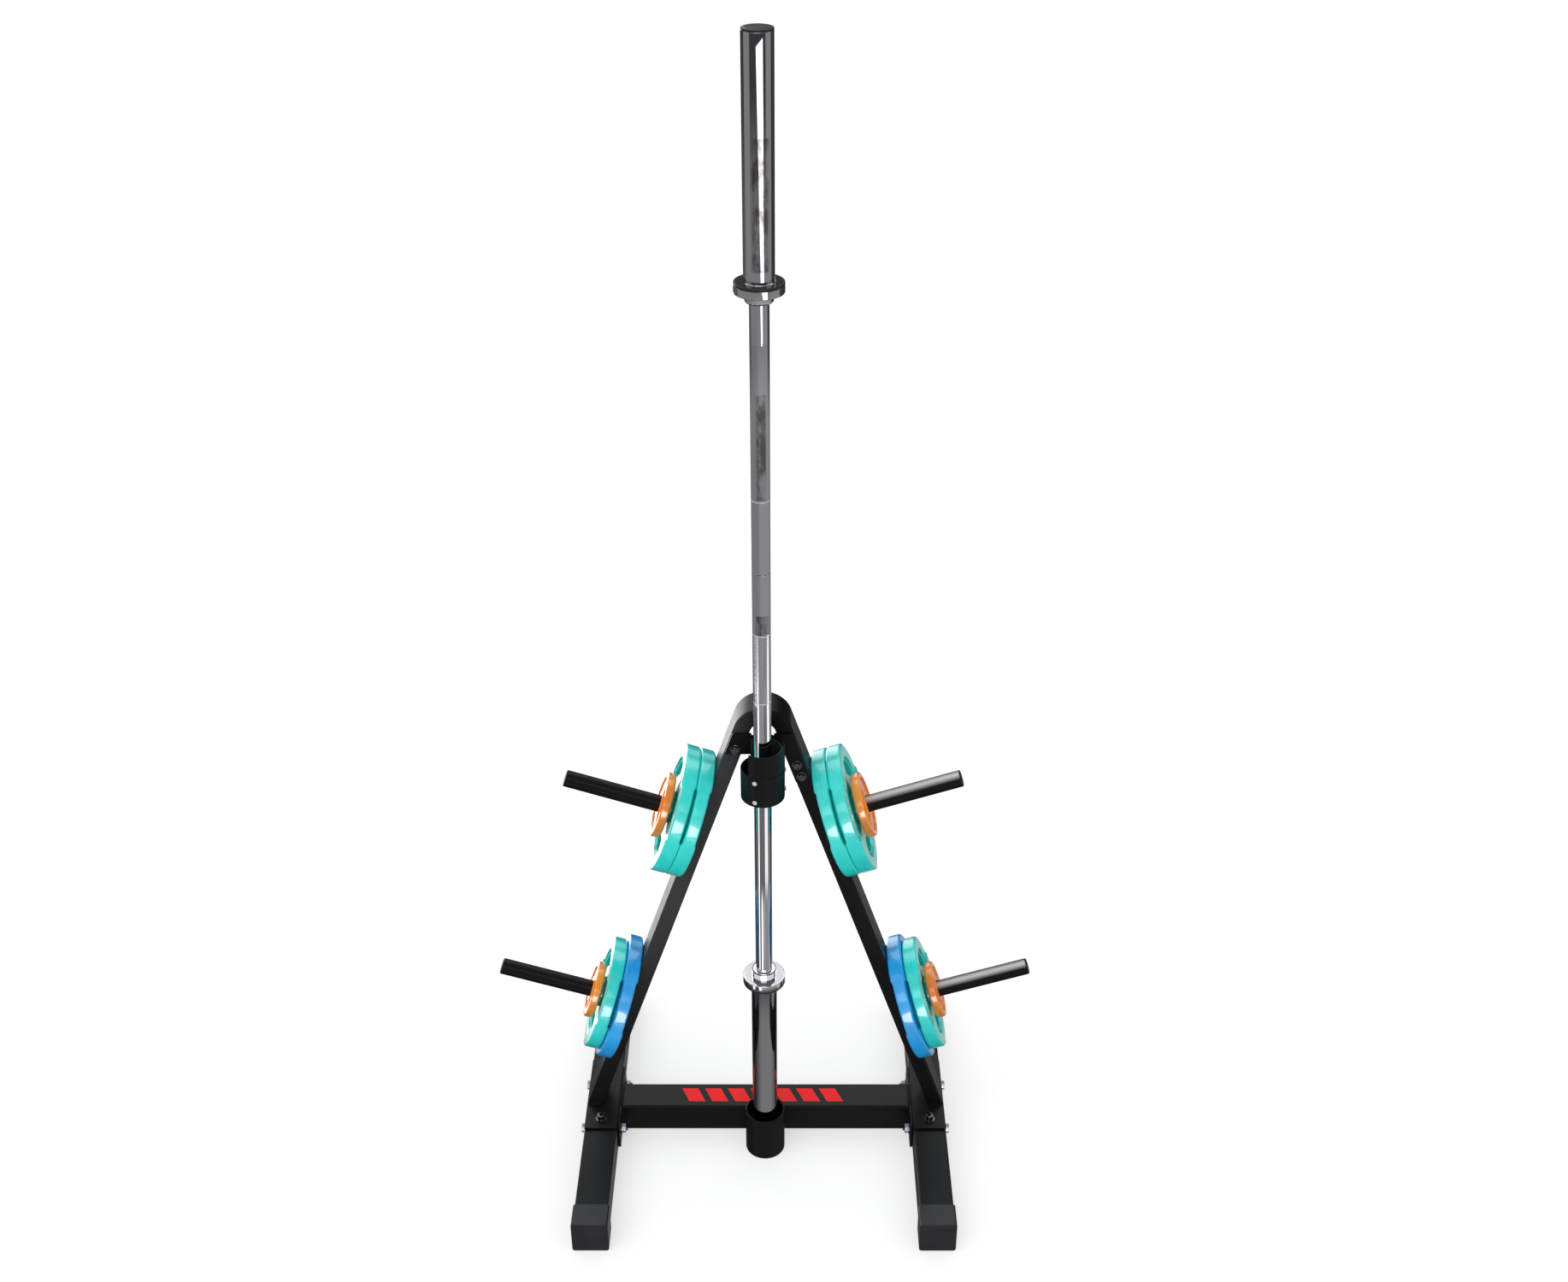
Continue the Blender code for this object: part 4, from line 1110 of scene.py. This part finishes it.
def buildBar():
    shaft, spigot, groove = bar["shaft"], bar["spigot"], bar["shaft"] - 0.0004
    length = 2 * collarHigh + bar["between"]
    end = bar["capHead"] + bar["capStem"] + 4 * fit
    low, high = hubEnd + fit, length - hubEnd - fit
    line = [(0, length - end), (spigot, length - end), (spigot, high), (shaft, high)]
    for ring in bar["rings"]:
        z = ring - bar["bottom"]
        line += [(shaft, z + 0.0009), (groove, z + 0.0003), (groove, z - 0.0003), (shaft, z - 0.0009)]
    line += [(shaft, low), (spigot, low), (spigot, end), (0, end)]
    bottom = at(0, bar["y"], bar["bottom"])
    top = at(0, bar["y"], bar["bottom"] + length) @ turned(pi, "X")
    addPiece(placed(spun(line), bottom), "chrome_shaft", "bar_shaft", "bar")
    for level, matrix in (("lower", bottom), ("upper", top)):
        for shape, finish, name, node in (
            (sleeveShape, "chrome", "barSleeve", f"bar_sleeve_{level}"),
            (bandShape, "black_plastic", "collarBand", None),
            (barCap, "black_plastic", "barEndCap", f"bar_end_cap_{level}"),
        ):
            addPiece(placed(shape(), matrix), finish, node, f"{level}_sleeve", f"{name}.{level}")


buildBar()
print("bar done")


# socket and guide
socket = {
    "radius": 0.04, "wall": 0.003, "height": 0.1036, "floor": 0.0677, "floorThickness": 0.005, "lift": 0.001,
    "weldSpread": 0.0115,
}
guide = {
    "radius": 0.0405, "wall": 0.003, "drop": 0.0512, "guard": 0.0455, "lock": 0.0632, "liner": 0.0047,
    "linerPlay": 0.0006, "linerSetback": 0.004, "mouthCentre": radians(-92), "mouth": radians(106),
    "gapCentre": radians(160), "gap": radians(64), "columns": (radians(-20), radians(100), radians(220)),
    "screwInset": 0.0105, "screw": 0.0022, "screwHead": 0.0045, "screwHeight": 0.0024, "screwFlat": 0.0031,
    "screwCell": 0.0012, "crossDepth": 0.0012, "grooveDepth": 0.002, "grooveHalf": 0.003, "steps": 96,
}
guardTop = aFrame["height"] - guide["drop"]
guardBottom = guardTop - guide["guard"]
lockTop = guardBottom - fit
lockBottom = lockTop - guide["lock"]


def buildSocket():
    inside = socket["radius"] - socket["wall"]
    under = socket["floor"] - socket["floorThickness"]
    radius, floor, height, lift = (socket[name] for name in ("radius", "floor", "height", "lift"))
    corners = [
        (0, floor, 0), (inside, floor, 0.0015), (inside, height, 0.0009), (radius, height, 0.0012),
        (radius, lift, 0.001), (inside, lift, 0.0005), (inside, under, 0.001), (0, under, 0),
    ]
    cup = placed(spun(softened(corners, 3)), at(0, bar["y"], 0))
    front, spread = -foot["tube"] / 2 - 0.0015, socket["weldSpread"]
    runs = [weldRun((x, front, 0.008), (x, front, tubeTop - 0.006)) for x in (-spread, spread)]
    addPiece(joined(cup, *runs), "black_coat", "bar_socket")


def ringSector(low, high, centre, opening, edge):
    inner, outer = guide["radius"] - guide["wall"], guide["radius"]
    corners = [(inner, low, edge), (outer, low, edge), (outer, high, edge), (inner, high, edge)]
    bm = swept(softened(corners, 3), centre, opening)
    rims = [e for f in bm.faces if len(f.verts) > 4 for e in f.edges]
    rounded(bm, rims, edge * 0.8)
    return bm


def screwShape(tip):
    seat = guide["radius"] + fit
    top = seat + guide["screwHeight"]
    flat, head, cell = guide["screwFlat"], guide["screwHead"], guide["screwCell"]
    line = [
        (flat, top - 0.00005), (flat + 0.0007, top - 0.0003), (head - 0.0002, top - 0.001), (head, seat + 0.0005),
        (head - 0.0002, seat), (guide["screw"], seat), (guide["screw"], tip), (0, tip),
    ]
    bm = spun(line, 24)
    rim = [e for e in bm.edges if e.is_boundary]
    grid = bmesh.ops.create_grid(bm, x_segments=3, y_segments=3, size=cell * 1.5)["verts"]
    bmesh.ops.translate(bm, vec=(0, 0, top), verts=grid)
    patch = {f for v in grid for f in v.link_faces}
    border = [e for e in {e for f in patch for e in f.edges} if e.is_boundary]
    bmesh.ops.bridge_loops(bm, edges=rim + border)
    cross = [f for f in patch if min(abs(f.calc_center_median().x), abs(f.calc_center_median().y)) < cell / 4]
    shifted(bm, bmesh.ops.extrude_face_region(bm, geom=cross), (0, 0, -guide["crossDepth"]))
    bmesh.ops.delete(bm, geom=[f for f in cross if f.is_valid], context="FACES_ONLY")
    return outward(bm)


def buildGuide():
    axis = at(0, bar["y"], 0)
    mouth = guide["mouthCentre"], guide["mouth"]
    guard = ringSector(guardBottom, guardTop, *mouth, 0.0008)
    addPiece(placed(guard, axis), "black_coat", "guide_guard")
    radius = guide["radius"] - guide["wall"] - guide["linerPlay"]
    bore = radius - guide["liner"]
    heights = (lockBottom + guide["screwInset"], lockTop - guide["screwInset"])
    low, high = lockBottom + fit, guardTop - guide["linerSetback"]
    floor, half = radius - guide["grooveDepth"], guide["grooveHalf"]
    corners = [(bore, low, 0.001), (radius, low, 0.0008)]
    for z in heights:
        corners += [(radius, z - half, 0), (floor, z - half, 0), (floor, z + half, 0), (radius, z + half, 0)]
    corners += [(radius, high, 0.0008), (bore, high, 0.0015)]
    addPiece(placed(swept(softened(corners, 3), *mouth), axis), "black_plastic", "guide_liner")
    ring = ringSector(lockBottom, lockTop, guide["gapCentre"], guide["gap"], 0.0009)
    addPiece(placed(ring, axis), "black_coat", "lock_ring", "lock_collar")
    for height, row in zip(heights, ("low", "high")):
        for column, angle in zip(("front", "right", "rear"), guide["columns"]):
            place = axis @ turned(angle, "Z") @ toFront(0, 0, height) @ turned(angle * 3 + height * 40, "Z")
            screw = placed(screwShape(floor + 2 * fit), place)
            addPiece(screw, "zinc", f"lock_screw_{row}_{column}", "lock_collar")


# brackets that carry the guide
bracket = {
    "thickness": 0.005, "top": 0.05, "left": 0.044, "right": 0.107, "edge": 0.001, "corner": 0.005,
    "bolts": ((-1, 0.082, "left"), (1, 0.1165, "upper_right"), (1, 0.142, "lower_right")),
}


def buildBrackets():
    back = -(aFrame["depth"] / 2 + fit)
    front = back - bracket["thickness"]
    edge = bracket["edge"]
    reach = sqrt((guide["radius"] + fit) ** 2 - (bar["y"] - front) ** 2)
    top = aFrame["height"] - bracket["top"]
    shelf = top - bracket["left"]
    for side, hand in sides:
        low = top - bracket[hand]
        outline = [(reach, top, 0.0015), (legOuter(top) - edge, top, bracket["corner"])]
        outline.append((legOuter(low) - edge, low, 0.003))
        if low < shelf:
            outline += [(legInner(low) + edge, low, 0.003), (legInner(shelf) + edge, shelf, 0.004)]
        outline.append((reach, shelf, 0.0015))
        points = [(side * x, z) for x, z in softened(outline)]
        shape = placed(slab(points, 0, bracket["thickness"], 0.0006), toFront(0, back, 0))
        beadX, beadY = side * (reach + 0.0006), front - 0.0004
        bead = weldRun((beadX, beadY, shelf + 0.004), (beadX, beadY, top - 0.004))
        addPiece(joined(shape, bead), "black_coat", f"guide_bracket_{hand}")


def buildBracketBolts():
    seat = bracket["thickness"] + fit
    over = seat + bolt["washer"]
    back = -(aFrame["depth"] / 2 + fit)
    for side, drop, name in bracket["bolts"]:
        z = aFrame["height"] - drop
        x = side * (legOuter(z) + legInner(z)) / 2
        whole = joined(
            hexBlock(bolt["smallHead"], over - fit / 3, over + bolt["smallHeight"]),
            disc(bolt["smallWasher"], seat, over),
            disc(bolt["smallShank"], -bolt["smallLength"], seat + bolt["washer"] / 2, 0.0003, 20),
        )
        addPiece(placed(whole, toFront(x, back, z)), "dark_zinc", f"bracket_bolt_{name}")


buildSocket()
buildGuide()
buildBrackets()
buildBracketBolts()
print("socket and guide done")
